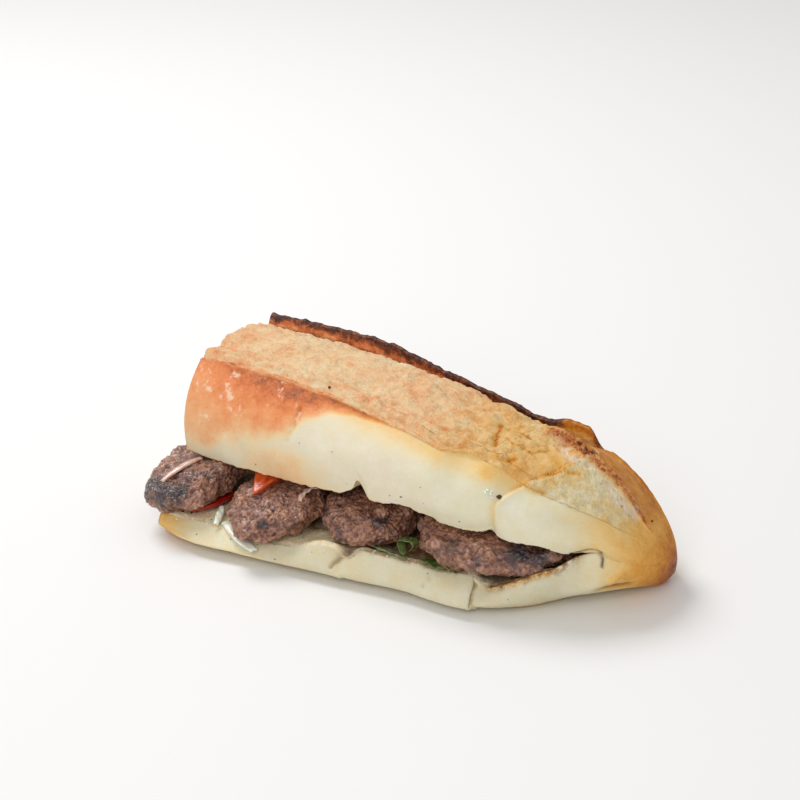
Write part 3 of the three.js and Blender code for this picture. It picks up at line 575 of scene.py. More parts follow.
def loaf_relief(loaf):
    """How far each point stands out of the smooth form, in mm, and the masks that the marks use.

    Top: grains of 1 to 3 mm on pillows of 7 mm, folds, and higher pillows towards the heel. Flap:
    dents. Ear and crest: coarse grains. Lips: ragged. Slit: pores."""
    p = loaf.smooth
    x, z = p[..., 0], p[..., 2]
    wide = heel_shrink(loaf.x)[0][:, None]
    share = loaf.share[None]
    m = stretch_masks(loaf)
    m["heel_top"] = band(loaf, "dome", "dome", 1.0) * ramp(x, 148, 156)
    m["lively"] = ramp(x, 60, 115) * (1 - ramp(x, 152, 162))
    stray = drift(p, 3.2, 61)
    q = p + 0.5 * stray
    m["fold"] = sum(depth * near_line(q, line, half) for half, depth, line in FOLDS)
    m["crack"] = sum(depth * near_line(q, line, half) for half, depth, line in CRACKS)
    m["white"] = sum(near_line(p + 1.4 * stray, line, 2.4) for line in WHITE_TEARS) * (1 - m["heel_top"])
    beyond = panel_beyond(loaf.x, z)
    m["recess"] = near_line(p + 1.4 * stray, RECESS, 5.0) * ramp(-beyond, -0.4, 1.0)
    m["tear"] = sum(near_line(q, line, 1.2) for line in PANEL_TEARS)
    crest = np.maximum(band(loaf, "crest", "crest", 5.0, 3.0, 21),
                       line_mark(loaf, "crest_side", 0.08, 5, 3.0, 25))
    m["crest"] = crest * ramp(x, 144, 149) * (1 - ramp(x, 190, 196))

    warp = p + 1.8 * drift(p, 6, 41)
    first, _ = pebbles(warp, 7.5, 44)
    nub, _ = pebbles(warp, 3.1, 48)
    lump = ((0.5 + 0.85 * m["lively"]) * dome(first, 0.75) + noise(p, 13, 10) * 0.45
            + noise(p, 4.4, 45) * 0.6)
    grain = noise(p, 1.5, 1) * 0.42 + noise(p, 2.6, 2) * 0.42 + 0.5 * dome(nub, 0.75)
    calm = (1 - 0.85 * m["heel_top"]) * (1 - 0.7 * m["recess"]) * (1 - 0.5 * m["white"])
    d_top = (lump + grain) * calm - 1.0 * m["fold"] - 0.5 * m["tear"]
    d_top = d_top - 0.45 * line_mark(loaf, "crease", 0.1, 1.6, 2.0, 7) * (1 - ramp(x, 128, 140))
    torn_pits, _ = pebbles(p, 2.2, 46)
    d_top = d_top - m["white"] * (0.5 + 1.1 * ramp(0.5 - torn_pits, 0, 0.4))

    dents = noise(p, 16, 14) * 0.35 + noise(p, 6, 15) * 0.13 + noise(p, 2.6, 16) * 0.04
    for station, height, half_x, half_share, depth in FLAP_DENTS:
        dents = dents - depth * mound(x, station, half_x) * mound(share, height, half_share) * m["flap"]
    dents = dents - m["flap"] * m["fold"]
    d_back = noise(p, 22, 17) * 0.6 + noise(p, 7, 18) * 0.12 + noise(p, 2.6, 19) * 0.04
    pores, _ = pebbles(p, 2.6, 4)
    small, _ = pebbles(p, 1.3, 6)
    holes = ramp(0.42 - pores, 0, 0.3) * 0.7 + ramp(0.4 - small, 0, 0.3) * 0.3
    m["holes"] = np.clip(holes, 0, 1) * m["inside"]
    d_inside = noise(p, 6, 24) * 0.4 - 0.5 * holes
    coarse, _ = pebbles(p, 2.4, 47)
    d_coarse = 0.5 * dome(coarse, 0.7) + noise(p, 1.7, 27) * 0.2
    relief = (m["top"] * d_top + (m["flap"] + m["lower"]) * dents + m["inside"] * d_inside
              + m["rim"] * (d_coarse - 0.3 + noise(p, 5, 26) * 0.3) + m["back"] * d_back) * wide
    relief = relief + m["crest"] * (0.9 * d_coarse + 0.35)
    m["flake"] = near_line(q, FLAKE, 1.3)
    m["gap"] = near_line(q, FLAKE_GAP, 1.5)
    m["seam"] = near_line(p + 0.2 * stray, SLIT_END, 0.5)
    relief = relief - m["crack"] * (1 - m["inside"]) - 1.3 * m["seam"]
    return relief + 1.8 * m["flake"] - 1.6 * m["gap"], m


def loaf_marks(loaf, m):
    """The numbers that the bread's materials read at each point: bake, how brown the crust is from
    0 pale to 1 burnt, with painted shade added in the groove behind the bloom, low on the flap,
    beside the panel's edge, in the cracks and in the gap under the flake; gold, how yellow its
    browning is; torn, how grainy and open it is; chalk, white torn dough; the painted shade, dark
    at the slit's end, in the cracks, in the gap under the flake and over the lower crust; flour;
    pores and soak, gas holes and sauce, with soak also growing darker deeper into the slit."""
    p = loaf.smooth
    x, z = p[..., 0], p[..., 2]
    share = loaf.share[None]
    slow, mid, fine = rough(p, 26, 3, 51), rough(p, 9, 3, 52), rough(p, 3.4, 2, 53)
    beyond = panel_beyond(loaf.x, z)
    panel = ramp(beyond, -0.8, 0.8)

    # browning of the heel's front, which grows with the station
    heel_line = [[0, 0.1], [158, 0.12], [166, 0.17], [173, 0.24],
                 [180, 0.36], [186, 0.42], [191, 0.52], [200, 0.64]]
    heel_bake = along(heel_line, loaf.x) + 0.07 * slow + 0.03 * mid
    heel_bake = heel_bake + 0.07 * ramp(20 - z, 0, 12) * ramp(x, 186, 196)
    heel = ramp(x, 160, 178)

    reach = along(ORANGE_REACH, loaf.x)
    depth = share / np.maximum(reach, 0.012) + 0.2 * slow + 0.12 * mid
    warm = (0.69 + 0.11 * ramp(x, 6, 20) - 0.15 * ramp(depth, 0.1, 0.7) - 0.12 * ramp(depth, 0.6, 1.0)
            - 0.34 * ramp(x, 80, 114))
    # painted shade: the flap's lower part round station 50, near its lip, is browned
    low_flap_painted_shade = 0.3 * mound(x, 50, 18) * ramp(share, 0.55, 0.85)
    flap_bake = mix(warm, 0.11 + 0.05 * mid + low_flap_painted_shade, ramp(depth, 0.8, 1.3))
    yellow = mound(share, 0.03, 0.19) * ramp(x, 52, 84) * (1 - panel) * m["flap"]
    beside_hole = mound(x, 141, 5) * mound(share, 0.16, 0.14) * (1 - panel) * m["flap"]
    flap_bake = np.maximum(flap_bake, 0.1 + 0.29 * yellow) + 0.16 * beside_hole + 0.12 * m["fold"]
    flap_bake = flap_bake + 0.04 * mound(share, 1, 0.06)
    flap_bake = mix(flap_bake, 0.1 + 0.05 * mid + 0.1 * (1 - ramp(share, 0.0, 0.4)), panel)
    flap_bake = mix(flap_bake, heel_bake, heel)

    top_bake = (0.45 + 0.08 * mid + 0.05 * fine + 0.34 * m["fold"]
                - 0.07 * ramp(x, 4, 26) * (1 - ramp(x, 70, 120)))
    near_edge = band(loaf, "crease", "ridge", 3) * (1 - ramp(x, 126, 142))
    blotch = ramp(rough(p, 5.5, 2, 55), 0.0, 0.4)
    top_bake = top_bake + 0.12 * blotch * near_edge + 0.05 * ramp(rough(p, 8, 2, 56), 0.1, 0.5)
    top_bake = top_bake + 0.08 * line_mark(loaf, "crease", 0.1, 1.8, 2.5, 7) * (1 - ramp(x, 128, 142))
    edge_line = line_mark(loaf, "ridge", 0.75, 4, 1.5, 23) * (1 - ramp(x, 55, 90))
    # painted shade along the bloom's back edge, where it drops into the groove, from station 70 to 150
    behind = line_mark(loaf, "dome", 0.04, 4, 1.5, 24) * ramp(x, 70, 95) * (1 - ramp(x, 140, 150))
    top_bake = top_bake + 0.27 * edge_line + 0.16 * behind
    top_bake = mix(top_bake, 0.5 + 0.08 * mid, 0.85 * np.minimum(m["recess"] * 1.4, 1))
    pale_torn = ramp(beyond, -0.5, 1.5) * ramp(x, 146, 158)
    inner = 0.24 + 0.1 * mid + 0.06 * fine + 0.1 * ramp(z, 44, 52) + 0.1 * ramp(x, 172, 184)
    top_bake = mix(top_bake, inner, pale_torn * (1 - m["heel_top"]))
    top_bake = mix(top_bake, heel_bake, ramp(x, 182, 190) * (1 - m["heel_top"]))
    brown_heel = 0.71 + 0.05 * mid - 0.05 * ramp(x, 186, 198)
    top_bake = mix(top_bake, brown_heel, m["heel_top"])

    low_bake = 0.15 + 0.34 * (1 - ramp(x, 0, 26)) + 0.05 * mid + 0.1 * ramp(share, 0.75, 1)
    low_bake = low_bake + 0.1 * (1 - ramp(x, 30, 90)) * ramp(share, 0.3, 0.8)
    low_bake = mix(low_bake, heel_bake, ramp(x, 176, 190))
    back_bake = mix(0.24, 0.7, ramp(z, 10, 46)) + 0.08 * slow + 0.05 * mid
    tail = ramp(x, 142, 150) * (1 - ramp(x, 158, 161))
    face = line_mark(loaf, "ear_face", 0.75, 5)
    tan_face = mix(0.74, 0.62, ramp(x, 60, 110)) + 0.14 * fine + 0.06 * mid
    rim_bake = mix(0.91 + 0.04 * fine, tan_face, face) - 0.2 * tail
    rim_bake = mix(rim_bake, 0.71 + 0.05 * mid, ramp(x, 159, 163))
    # painted shade: browner along the middle of the groove short of station 150
    rim_bake = rim_bake + 0.16 * line_mark(loaf, "groove", 0.5, 2.0, 1.0, 15) * (1 - ramp(x, 142, 150))

    bake = (m["top"] * top_bake + m["flap"] * flap_bake + m["lower"] * low_bake + m["back"] * back_bake
            + m["inside"] * 0.12 + m["rim"] * rim_bake + m["base"] * (0.42 + 0.1 * slow))
    lip_brown = line_mark(loaf, "lower_crust", 0.02, 3.5, 2.0, 27)
    lip_brown = lip_brown * ramp(x, 142, 148) * (1 - ramp(x, 166, 174))
    bake = bake + 0.32 * lip_brown
    tip = ramp(x, 189, 196)
    bake = mix(bake, heel_bake + 0.1 * ramp(p[..., 1], 2, 20), tip)
    bake = mix(bake, 0.76 + 0.14 * fine, m["crest"])
    torn_edge = (m["flap"] + m["top"]) * ramp(z, 33, 36) * (1 - ramp(x, 168, 174))
    frayed_edge = beyond + 0.7 * fine
    # painted shadow: a browner line just outside the panel's raised edge
    bake = bake + 0.16 * mound(frayed_edge, -1.0, 1.3) * torn_edge
    bake = mix(bake, 0.24, 0.6 * mound(frayed_edge, 1.8, 1.4) * torn_edge) + 0.24 * m["tear"]
    # painted shade in the cracks: they are mixed towards a middle brown
    bake = mix(bake, 0.45, np.clip(0.25 * m["crack"], 0, 0.5))
    # painted shadow, near burnt brown, in the gap under the flake; the flake itself is browner
    bake = mix(bake, 0.8, 0.7 * m["gap"]) + 0.14 * m["flake"]

    gold = (ramp(x, 96, 140) * (1 - 0.2 * m["top"] * (1 - ramp(x, 150, 162))) + m["lower"]
            + 0.5 * m["back"] + 0.8 * m["fold"] + 0.6 * yellow)
    gold = np.clip(gold, 0, 1)
    gold = mix(gold, 0.35, np.clip(m["crest"], 0, 1))
    torn = m["top"] * (1 - 0.75 * m["heel_top"]) * (1 - 0.6 * m["recess"]) * (1 - ramp(x, 186, 194))
    torn = np.clip(torn + 1.0 * m["crest"] + 0.7 * m["rim"] * (1 - ramp(x, 159, 163)) + 0.25 * tip, 0, 2)
    wet_places = noise(p, 7, 72) + mound(x, 110, 26) + mound(x, 158, 14)
    soiled = band(loaf, "floor", "lower_edge", 3) * ramp(wet_places, 0.1, 0.7)
    # added to soak: the slit's inside turns darker brown the deeper a point lies
    deep = 0.85 * ramp(p[..., 1], -27, -14) * m["inside"]
    # painted shade over the upper part of the lower crust, from about station 36 to 176
    lower_crust_painted_shade = 0.15 * m["lower"] * (1 - ramp(share, 0.55, 0.95)) * ramp(x, 36, 60) * (1 - ramp(x, 168, 180))
    lip_stain = line_mark(loaf, "lower_edge", 1.1, 5, 2.5, 19)
    lip_stain = lip_stain * ramp(x, 142, 150) * (1 - ramp(x, 170, 178))
    # painted shade, dark brown: at the slit's end, in the cracks, in the gap under the flake and over the
    # lower crust
    painted_shade = np.clip(1.7 * m["seam"] + 0.15 * m["crack"] + 0.75 * m["gap"] + lower_crust_painted_shade, 0, 1)
    return {"bake": np.clip(bake, 0, 1), "torn": torn, "gold": gold, "chalk": np.clip(m["white"], 0, 1),
            "flour": m["flap"] * (1 - ramp(x, 46, 78)) * (1 - ramp(share, 0.6, 0.9)), "painted_shade": painted_shade,
            "pores": m["holes"], "soak": np.clip(0.75 * soiled + 0.8 * lip_stain + deep, 0, 1)}


# Materials

def linear(hex_colour):
    """sRGB hex to linear red, green, blue and alpha."""
    parts = [int(hex_colour[i:i + 2], 16) / 255 for i in (1, 3, 5)]
    return [c / 12.92 if c <= 0.04045 else ((c + 0.055) / 1.055) ** 2.4 for c in parts] + [1.0]


def new_material(name, **settings):
    """A material with one Principled shader whose sockets are set by name."""
    material = bpy.data.materials.new(name)
    material.use_nodes = True
    tree = material.node_tree
    shader = tree.nodes["Principled BSDF"]
    for socket, value in settings.items():
        shader.inputs[socket.replace("_", " ")].default_value = value
    return material, tree, shader


def add(tree, kind, inputs=None, **settings):
    """Adds a node: settings go on the node, inputs by socket name or number as value or link."""
    node = tree.nodes.new("ShaderNode" + kind)
    for name, value in settings.items():
        setattr(node, name, value)
    for key, value in (inputs or {}).items():
        socket = node.inputs[key]
        if isinstance(value, bpy.types.NodeSocket):
            tree.links.new(value, socket)
        else:
            socket.default_value = value
    return node


def per_mm(size):
    """Texture scale, in waves for each metre, of a pattern of that size in mm."""
    return 1 / (size * MM)


def colour_ramp(tree, factor, stops):
    """A colour ramp through (place, hex) stops."""
    node = add(tree, "ValToRGB", {"Fac": factor})
    bar = node.color_ramp
    for _ in range(len(stops) - 2):
        bar.elements.new(0.5)
    for element, (place, colour) in zip(bar.elements, stops):
        element.position = place
        element.color = linear(colour)
    return node.outputs["Color"]


def mixed(tree, factor, a, b):
    """Mixes two colours, links or values."""
    node = add(tree, "Mix", data_type="RGBA", blend_type="MIX", clamp_factor=True)
    for index, value in ((0, factor), (6, a), (7, b)):
        if isinstance(value, bpy.types.NodeSocket):
            tree.links.new(value, node.inputs[index])
        else:
            node.inputs[index].default_value = value
    return node.outputs[2]


def sums(tree, *terms):
    """Adds up terms, each a link or a pair of a link and its weight."""
    total = None
    for term in terms:
        link, weight = term if isinstance(term, tuple) else (term, 1.0)
        inputs = {0: link, 1: weight, 2: total if total else 0.0}
        total = add(tree, "Math", inputs, operation="MULTIPLY_ADD").outputs[0]
    return total


def ranged(tree, value, low, high, to_low=0.0, to_high=1.0):
    """Maps a value from low..high to to_low..to_high, clamped, with a smooth step."""
    return add(tree, "MapRange", {"Value": value, "From Min": low, "From Max": high, "To Min": to_low,
                                  "To Max": to_high}, interpolation_type="SMOOTHSTEP").outputs["Result"]


def texture_noise(tree, place, size, detail=3.0, roughness=0.55):
    return add(tree, "TexNoise", {"Vector": place, "Scale": per_mm(size), "Detail": detail,
                                  "Roughness": roughness}).outputs["Fac"]


def cells(tree, place, size, feature="F1"):
    node = add(tree, "TexVoronoi", {"Vector": place, "Scale": per_mm(size)}, feature=feature)
    return node.outputs["Distance"]


def bumped(tree, shader, height, depth_mm):
    """Relief from a height of 0 to 1 that stands for a depth in mm."""
    node = add(tree, "Bump", {"Height": height, "Distance": depth_mm * MM, "Strength": 1.0})
    tree.links.new(node.outputs["Normal"], shader.inputs["Normal"])


def attribute(tree, name):
    return add(tree, "Attribute", attribute_name=name).outputs["Fac"]


def product(tree, a, b):
    return add(tree, "Math", {0: a, 1: b}, operation="MULTIPLY").outputs[0]


def centred(tree, value, weight):
    """A texture of 0 to 1 turned to one that swings by the weight about zero."""
    return add(tree, "Math", {0: value, 1: weight, 2: -0.5 * weight}, operation="MULTIPLY_ADD").outputs[0]


def tinted(tree, colour, *layers):
    """Lays tints over a colour: each layer is a factor, its strength and a hex colour."""
    for factor, strength, tint in layers:
        colour = mixed(tree, product(tree, factor, strength), colour, linear(tint))
    return colour


def finish_colour(tree, shader, colour):
    tree.links.new(colour, shader.inputs["Base Color"])


def crust_material():
    """Baked wheat crust: dough skin browned by dry heat, matt with a faint sheen where it is
    smooth, grainy and open where it tore in the oven. Flour lies on the shoulder, in spots."""
    material, tree, shader = new_material("baked wheat crust", Roughness=0.6, Specular_IOR_Level=0.35,
                                          Subsurface_Weight=0.06, Subsurface_Scale=0.0015)
    shader.inputs["Subsurface Radius"].default_value = (1.0, 0.55, 0.3)
    place = add(tree, "TexCoord").outputs["Object"]
    torn = attribute(tree, "torn")
    blotch = texture_noise(tree, place, 6.0, 4, 0.6)
    grain = texture_noise(tree, place, 1.8, 3, 0.65)
    fine = texture_noise(tree, place, 0.75, 3, 0.7)
    mottle = sums(tree, (centred(tree, grain, 1.0), 0.55), (centred(tree, fine, 1.0), 0.5))
    mottle = product(tree, mottle, ranged(tree, torn, 0, 2, 0.22, 1.3))
    shade = sums(tree, attribute(tree, "bake"), centred(tree, blotch, 0.22), mottle)
    peach = colour_ramp(tree, shade, [
        (0.0, "#e9e2ce"), (0.14, "#e4d9bd"), (0.28, "#ebd3a8"), (0.42, "#edc392"), (0.55, "#ebad79"),
        (0.67, "#e5905a"), (0.77, "#cf723c"), (0.86, "#80472c"), (0.94, "#4c2a26"), (1.0, "#2e1c1e")])
    golden = colour_ramp(tree, shade, [
        (0.0, "#e8e2cd"), (0.14, "#e1d9b9"), (0.28, "#e2cc9a"), (0.42, "#e6bf79"), (0.55, "#dfa750"),
        (0.67, "#cf8a2a"), (0.77, "#b3651c"), (0.86, "#78421f"), (0.94, "#482a20"), (1.0, "#2e1c1c")])
    colour = mixed(tree, attribute(tree, "gold"), peach, golden)
    pits = product(tree, ranged(tree, cells(tree, place, 1.7), 0.2, 0.08),
                   ranged(tree, torn, 0.1, 1, 0, 0.22))
    chalk = attribute(tree, "chalk")
    white = product(tree, ranged(tree, texture_noise(tree, place, 4.0, 3, 0.6), 0.36, 0.56), chalk)
    shadowed = product(tree, ranged(tree, texture_noise(tree, place, 2.4, 3, 0.6), 0.54, 0.66), chalk)
    dots = ranged(tree, texture_noise(tree, place, 2.8, 2, 0.5), 0.55, 0.68)
    cluster = ranged(tree, texture_noise(tree, place, 9.0, 2, 0.5), 0.48, 0.62)
    dusted = product(tree, product(tree, dots, cluster), attribute(tree, "flour"))
    stain = product(tree, ranged(tree, grain, 0.35, 0.6), attribute(tree, "soak"))
    # the last tint is painted shade, dark brown, in the cracks, at the slit's end, in the gap under the
    # flake and over the lower crust
    colour = tinted(tree, colour, (pits, 1.0, "#8a5730"), (white, 0.75, "#e4d2bf"),
                    (shadowed, 0.8, "#a5846a"), (dusted, 0.6, "#f4dcc2"), (stain, 1.0, "#8d5a31"),
                    (attribute(tree, "painted_shade"), 0.85, "#43291c"))
    finish_colour(tree, shader, colour)
    height = sums(tree, (grain, 0.55), (fine, 0.45))
    bumped(tree, shader, product(tree, height, ranged(tree, torn, 0, 2, 0.3, 3.4)), 0.8)
    tree.links.new(ranged(tree, grain, 0.3, 0.7, 0.52, 0.7), shader.inputs["Roughness"])
    return material


def crumb_material():
    """Soft wheat crumb: cream, matt, full of gas holes half a millimetre to three across, with
    sauce soaked in along the slit."""
    material, tree, shader = new_material("white bread crumb", Roughness=0.85, Specular_IOR_Level=0.2,
                                          Subsurface_Weight=0.15, Subsurface_Scale=0.002)
    shader.inputs["Subsurface Radius"].default_value = (1.0, 0.7, 0.4)
    place = add(tree, "TexCoord").outputs["Object"]
    small = ranged(tree, cells(tree, place, 1.0), 0.1, 0.5)
    tone = texture_noise(tree, place, 2.4, 4, 0.65)
    colour = mixed(tree, ranged(tree, tone, 0.35, 0.65), linear("#eed9a8"), linear("#f8ecd0"))
    soaked = product(tree, ranged(tree, tone, 0.3, 0.55, 0.55, 1.0), attribute(tree, "soak"))
    # the two darker tints are painted shade in the crumb's small pits and in its gas holes
    colour = tinted(tree, colour, (ranged(tree, small, 0, 1, 0.3, 0.0), 1.0, "#dccaa4"),
                    (attribute(tree, "pores"), 0.3, "#c9b186"), (soaked, 1.0, "#7f5838"))
    finish_colour(tree, shader, colour)
    bumped(tree, shader, sums(tree, (small, 0.5), (tone, 0.5)), 0.35)
    return material


def meat_material():
    """Grilled ground beef: crumbly grains browned by the grate, moist with fat so that the
    grains glint, charred blue-black where they touched the bars. High grains are painted lighter
    and the crevices between them darker, as painted light and shade."""
    material, tree, shader = new_material("grilled ground beef", Roughness=0.3, Specular_IOR_Level=0.65,
                                          Coat_Weight=0.5, Coat_Roughness=0.16)
    place = add(tree, "TexCoord").outputs["Object"]
    grain = texture_noise(tree, place, 1.5, 4, 0.7)
    fine = texture_noise(tree, place, 0.7, 3, 0.7)
    tint = texture_noise(tree, place, 5.0, 3, 0.6)
    # painted light and shade: the higher a grain stands the lighter it is, the seams and crevices darker
    shade = sums(tree, (attribute(tree, "painted_light_by_height"), 0.55), centred(tree, grain, 1.1),
                 centred(tree, fine, 0.7))
    shade = add(tree, "Math", {0: shade, 1: 0.3}, operation="ADD").outputs[0]
    brown = colour_ramp(tree, shade, [(0.0, "#20130f"), (0.22, "#523024"), (0.45, "#8c5b44"),
                                      (0.7, "#b98266"), (1.0, "#dfb39a")])
    burnt = product(tree, ranged(tree, grain, 0.3, 0.55, 0.6, 1.0), attribute(tree, "char"))
    colour = tinted(tree, brown, (ranged(tree, tint, 0.52, 0.66), 0.45, "#6e4a58"),
                    (ranged(tree, tint, 0.46, 0.32), 0.45, "#96603f"), (burnt, 1.0, "#2b2027"))
    finish_colour(tree, shader, colour)
    tree.links.new(ranged(tree, fine, 0.35, 0.65, 0.45, 0.18), shader.inputs["Roughness"])
    bumped(tree, shader, sums(tree, (grain, 0.6), (fine, 0.35), (cells(tree, place, 1.2), -0.35)), 1.3)
    return material


def wet_material(name, dark, light, size, roughness, glow):
    """A wet cut vegetable: a cellular flesh with a film of juice on it, which gives it a clear
    coat, and light that passes a little way in."""
    material, tree, shader = new_material(name, Roughness=roughness, Coat_Weight=0.5, Coat_Roughness=0.12,
                                          Subsurface_Weight=glow, Subsurface_Scale=0.002)
    place = add(tree, "TexCoord").outputs["Object"]
    tone = texture_noise(tree, place, size, 4, 0.6)
    vein = cells(tree, place, size * 0.8, "SMOOTH_F1")
    flesh = ranged(tree, sums(tree, (tone, 0.7), (vein, 0.4)), 0.3, 0.75)
    colour = mixed(tree, flesh, linear(dark), linear(light))
    finish_colour(tree, shader, colour)
    bumped(tree, shader, tone, 0.35)
    return material


def sauce_material():
    """Yoghurt sauce: white, thick and glossy."""
    material, tree, shader = new_material("white yoghurt sauce", Roughness=0.25, Subsurface_Weight=0.3,
                                          Subsurface_Scale=0.002)
    place = add(tree, "TexCoord").outputs["Object"]
    colour = mixed(tree, texture_noise(tree, place, 2.0), linear("#e9e4d4"), linear("#f8f6ee"))
    finish_colour(tree, shader, colour)
    return material


def speck_material():
    """Charred crumbs: burnt bread and pepper, dull and almost black."""
    material, tree, shader = new_material("charred crumbs", Roughness=0.8)
    place = add(tree, "TexCoord").outputs["Object"]
    colour = mixed(tree, texture_noise(tree, place, 1.5), linear("#2a1c14"), linear("#5a3a24"))
    finish_colour(tree, shader, colour)
    return material


# The bread

CUT_STEP = 1.1  # between the points of the cut face, in mm


def cut_end(points):
    """The cut face at X = 0: the outline filled with triangles over a jittered lattice of points
    inside it, which are sunk by gas holes. Gives the new points, the faces, how deep each new point
    lies in a hole, and its gap to the outline."""
    outline = points[0][:, 1:]
    rng = np.random.default_rng(4)
    low, high = outline.min(axis=0), outline.max(axis=0)
    gy, gz = np.meshgrid(np.arange(low[0], high[0], CUT_STEP), np.arange(low[1], high[1], CUT_STEP),
                         indexing="ij")
    cloud = np.stack([gy.ravel(), gz.ravel()], -1) + rng.uniform(-0.3, 0.3, (gy.size, 2))
    ahead = np.roll(outline, -1, axis=0)
    run, start = ahead - outline, outline
    rel = cloud[:, None] - start[None]
    t = np.clip(np.sum(rel * run, -1) / np.maximum(np.sum(run * run, -1), 1e-9), 0, 1)
    gap = np.min(np.linalg.norm(rel - t[..., None] * run, axis=-1), axis=1)
    crosses = (start[None, :, 1] > cloud[:, None, 1]) != (ahead[None, :, 1] > cloud[:, None, 1])
    with np.errstate(divide="ignore", invalid="ignore"):
        share = (cloud[:, None, 1] - start[None, :, 1]) / run[None, :, 1]
        at = start[None, :, 0] + share * run[None, :, 0]
    within = np.sum(crosses & (cloud[:, None, 0] < at), axis=1) % 2 == 1
    cloud, gap = cloud[within & (gap > 0.6)], gap[within & (gap > 0.6)]
    count = len(outline)
    edges = [(i, (i + 1) % count) for i in range(count)]
    everything = np.concatenate([outline, cloud])
    places = [Vector(v) for v in everything.tolist()]
    _, _, faces, origin, _, _ = delaunay_2d_cdt(places, edges, [], 1, 1e-7)
    back = [o[0] if o else -1 for o in origin]
    faces = [[back[v] for v in f] for f in faces if all(back[v] >= 0 for v in f)]
    flat = np.concatenate([np.zeros((len(cloud), 1)), cloud], axis=1)
    big, _ = pebbles(flat, 3.6, 91)
    small, _ = pebbles(flat, 1.8, 92)
    holes = ramp(0.4 - big, 0, 0.25) * 1.3 + ramp(0.4 - small, 0, 0.3) * 0.6
    edge = ramp(gap, 0.8, 3.5)
    flat[:, 0] = edge * (holes + 0.25 * noise(flat, 7, 93)) + 0.15
    return flat, faces, holes * edge, gap


def make_bread(crust, crumb):
    """The whole loaf as one closed piece: the fine surface, with the cut face on its open end."""
    loaf = Loaf()
    relief, masks = loaf_relief(loaf)
    marks = loaf_marks(loaf, masks)
    points = loaf.smooth + loaf.normal * relief[..., None]
    points[0, :, 0] = 0.0
    points[..., 2] = np.maximum(points[..., 2], 0.0)
    points[-1] = loaf.smooth[-1, 0]
    loaf.points = points
    rows, columns = points.shape[:2]

    ends, end_faces, holes, gap = cut_end(points)
    total = rows * columns
    cap = np.array([[v if v < columns else total + v - columns for v in f] for f in end_faces])
    skin = np.clip(1 - gap / 2.0, 0, 1)
    none = 0 * gap
    extra = {"bake": 0.25 + 0.35 * skin, "torn": none, "gold": none + 1, "chalk": none, "flour": none,
             "painted_shade": none, "pores": np.clip(holes, 0, 1), "soak": none}
    all_points = np.concatenate([points.reshape(-1, 3), ends])
    all_marks = {k: np.concatenate([marks[k].ravel(), extra[k]]) for k in extra}
    a, b, c = (all_points[cap[:, i]] for i in range(3))
    flip = np.cross(b - a, c - a)[:, 0] > 0
    cap[flip] = cap[flip][:, ::-1]
    inner = loaf.columns("upper_edge", "roof", "hinge_top", "hinge_foot", "floor", "lower_edge")
    inside = np.isin(loaf.column, inner)
    open_row = loaf.x[:-1] < MOUTH_END - 1
    rim = [(cap[:, i] < columns) & ~inside[np.minimum(cap[:, i], columns - 1)] for i in range(3)]
    skinned = np.any(rim, axis=0)
    face_kind = np.concatenate([(open_row[:, None] & inside).ravel(), ~skinned])
    faces = outward_faces(points).tolist() + cap.tolist()
    mesh_piece("loaf", all_points, faces, [crust, crumb], ("bread",), all_marks, face_kind)
    return loaf


# Patties: half sizes, unevenness of the plan, its phase, taper, turns in degrees and place
PATTIES = {
    "patty_1": dict(half=(18.6, 25.5, 7.4), lobes=0.05, phase=0.6, taper=0.0,
                    turn=(6, -10, 8), at=(4.6, -18.8, 19.5)),
    "patty_2": dict(half=(18, 25, 6.8), lobes=0.045, phase=2.2, taper=0.0,
                    turn=(8, -2, -6), at=(47.2, -22.4, 18.5)),
    "patty_3": dict(half=(19.6, 21.5, 7), lobes=0.04, phase=4.1, taper=0.0,
                    turn=(5, 0, 4), at=(85, -13.8, 19.6)),
    "patty_4": dict(half=(29.5, 21, 6.8), lobes=0.03, phase=1.1, taper=0.3,
                    turn=(4, 0, 5), at=(140, -18, 22)),
}
PATTY_AROUND = 330
PATTY_OVER = 116
# Where something presses on a patty: station, place across, half size and depth
PRESSED = {"patty_2": [(39, -30, 4.5, 2.4), (42, -24, 5, 1.6)]}
# Black marks of the grill: place and half size
BURNT = {"patty_1": [((-3, -38, 20), 6), ((4, -41, 19), 6), ((10, -41, 22), 4.5)],
         "patty_2": [((52.9, -44.8, 19.4), 2.4)],
         "patty_3": [((69.5, -27, 20), 3.6), ((95.4, -28, 23), 3)],
         "patty_4": [((156, -29.5, 26.5), 6), ((164, -28, 25.5), 6.5)]}


def turned(p, turn, at):
    """Points turned about X, then Y, then Z in the patty's own axes, and moved to their place."""
    pitch, roll, yaw = (math.radians(v) for v in turn)
    m = Matrix.Rotation(pitch, 3, "X") @ Matrix.Rotation(roll, 3, "Y") @ Matrix.Rotation(yaw, 3, "Z")
    return p @ np.array(m).T + np.array(at)


def patty_form(half, lobes, phase, taper, turn, at):
    """A puck with a rounded rim: its reach falls off as a power of the cosine of the height angle,
    its plan has three and five lobes, and low waves run over it."""
    up = math.pi * (np.linspace(0, 1, PATTY_OVER + 1)[:, None] - 0.5)
    spin = 2 * math.pi * np.arange(PATTY_AROUND)[None] / PATTY_AROUND
    reach = np.maximum(np.cos(up), 0) ** 0.62
    lift = np.sign(up) * np.abs(np.sin(up)) ** 0.85
    plan = 1 + lobes * (0.55 * np.cos(3 * spin + phase) + 0.45 * np.cos(5 * spin - 2 * phase))
    lump = 1 + reach * (0.035 * np.sin(4 * spin + 5 * up + phase) + 0.03 * np.sin(7 * spin - 4 * up))
    thin = 1 - taper * np.maximum(0, np.cos(spin)) * reach
    p = np.stack([half[0] * reach * plan * lump * np.cos(spin),
                  half[1] * reach * plan * lump * np.sin(spin) * thin,
                  half[2] * lift * lump * thin], -1)
    return turned(p, turn, at)


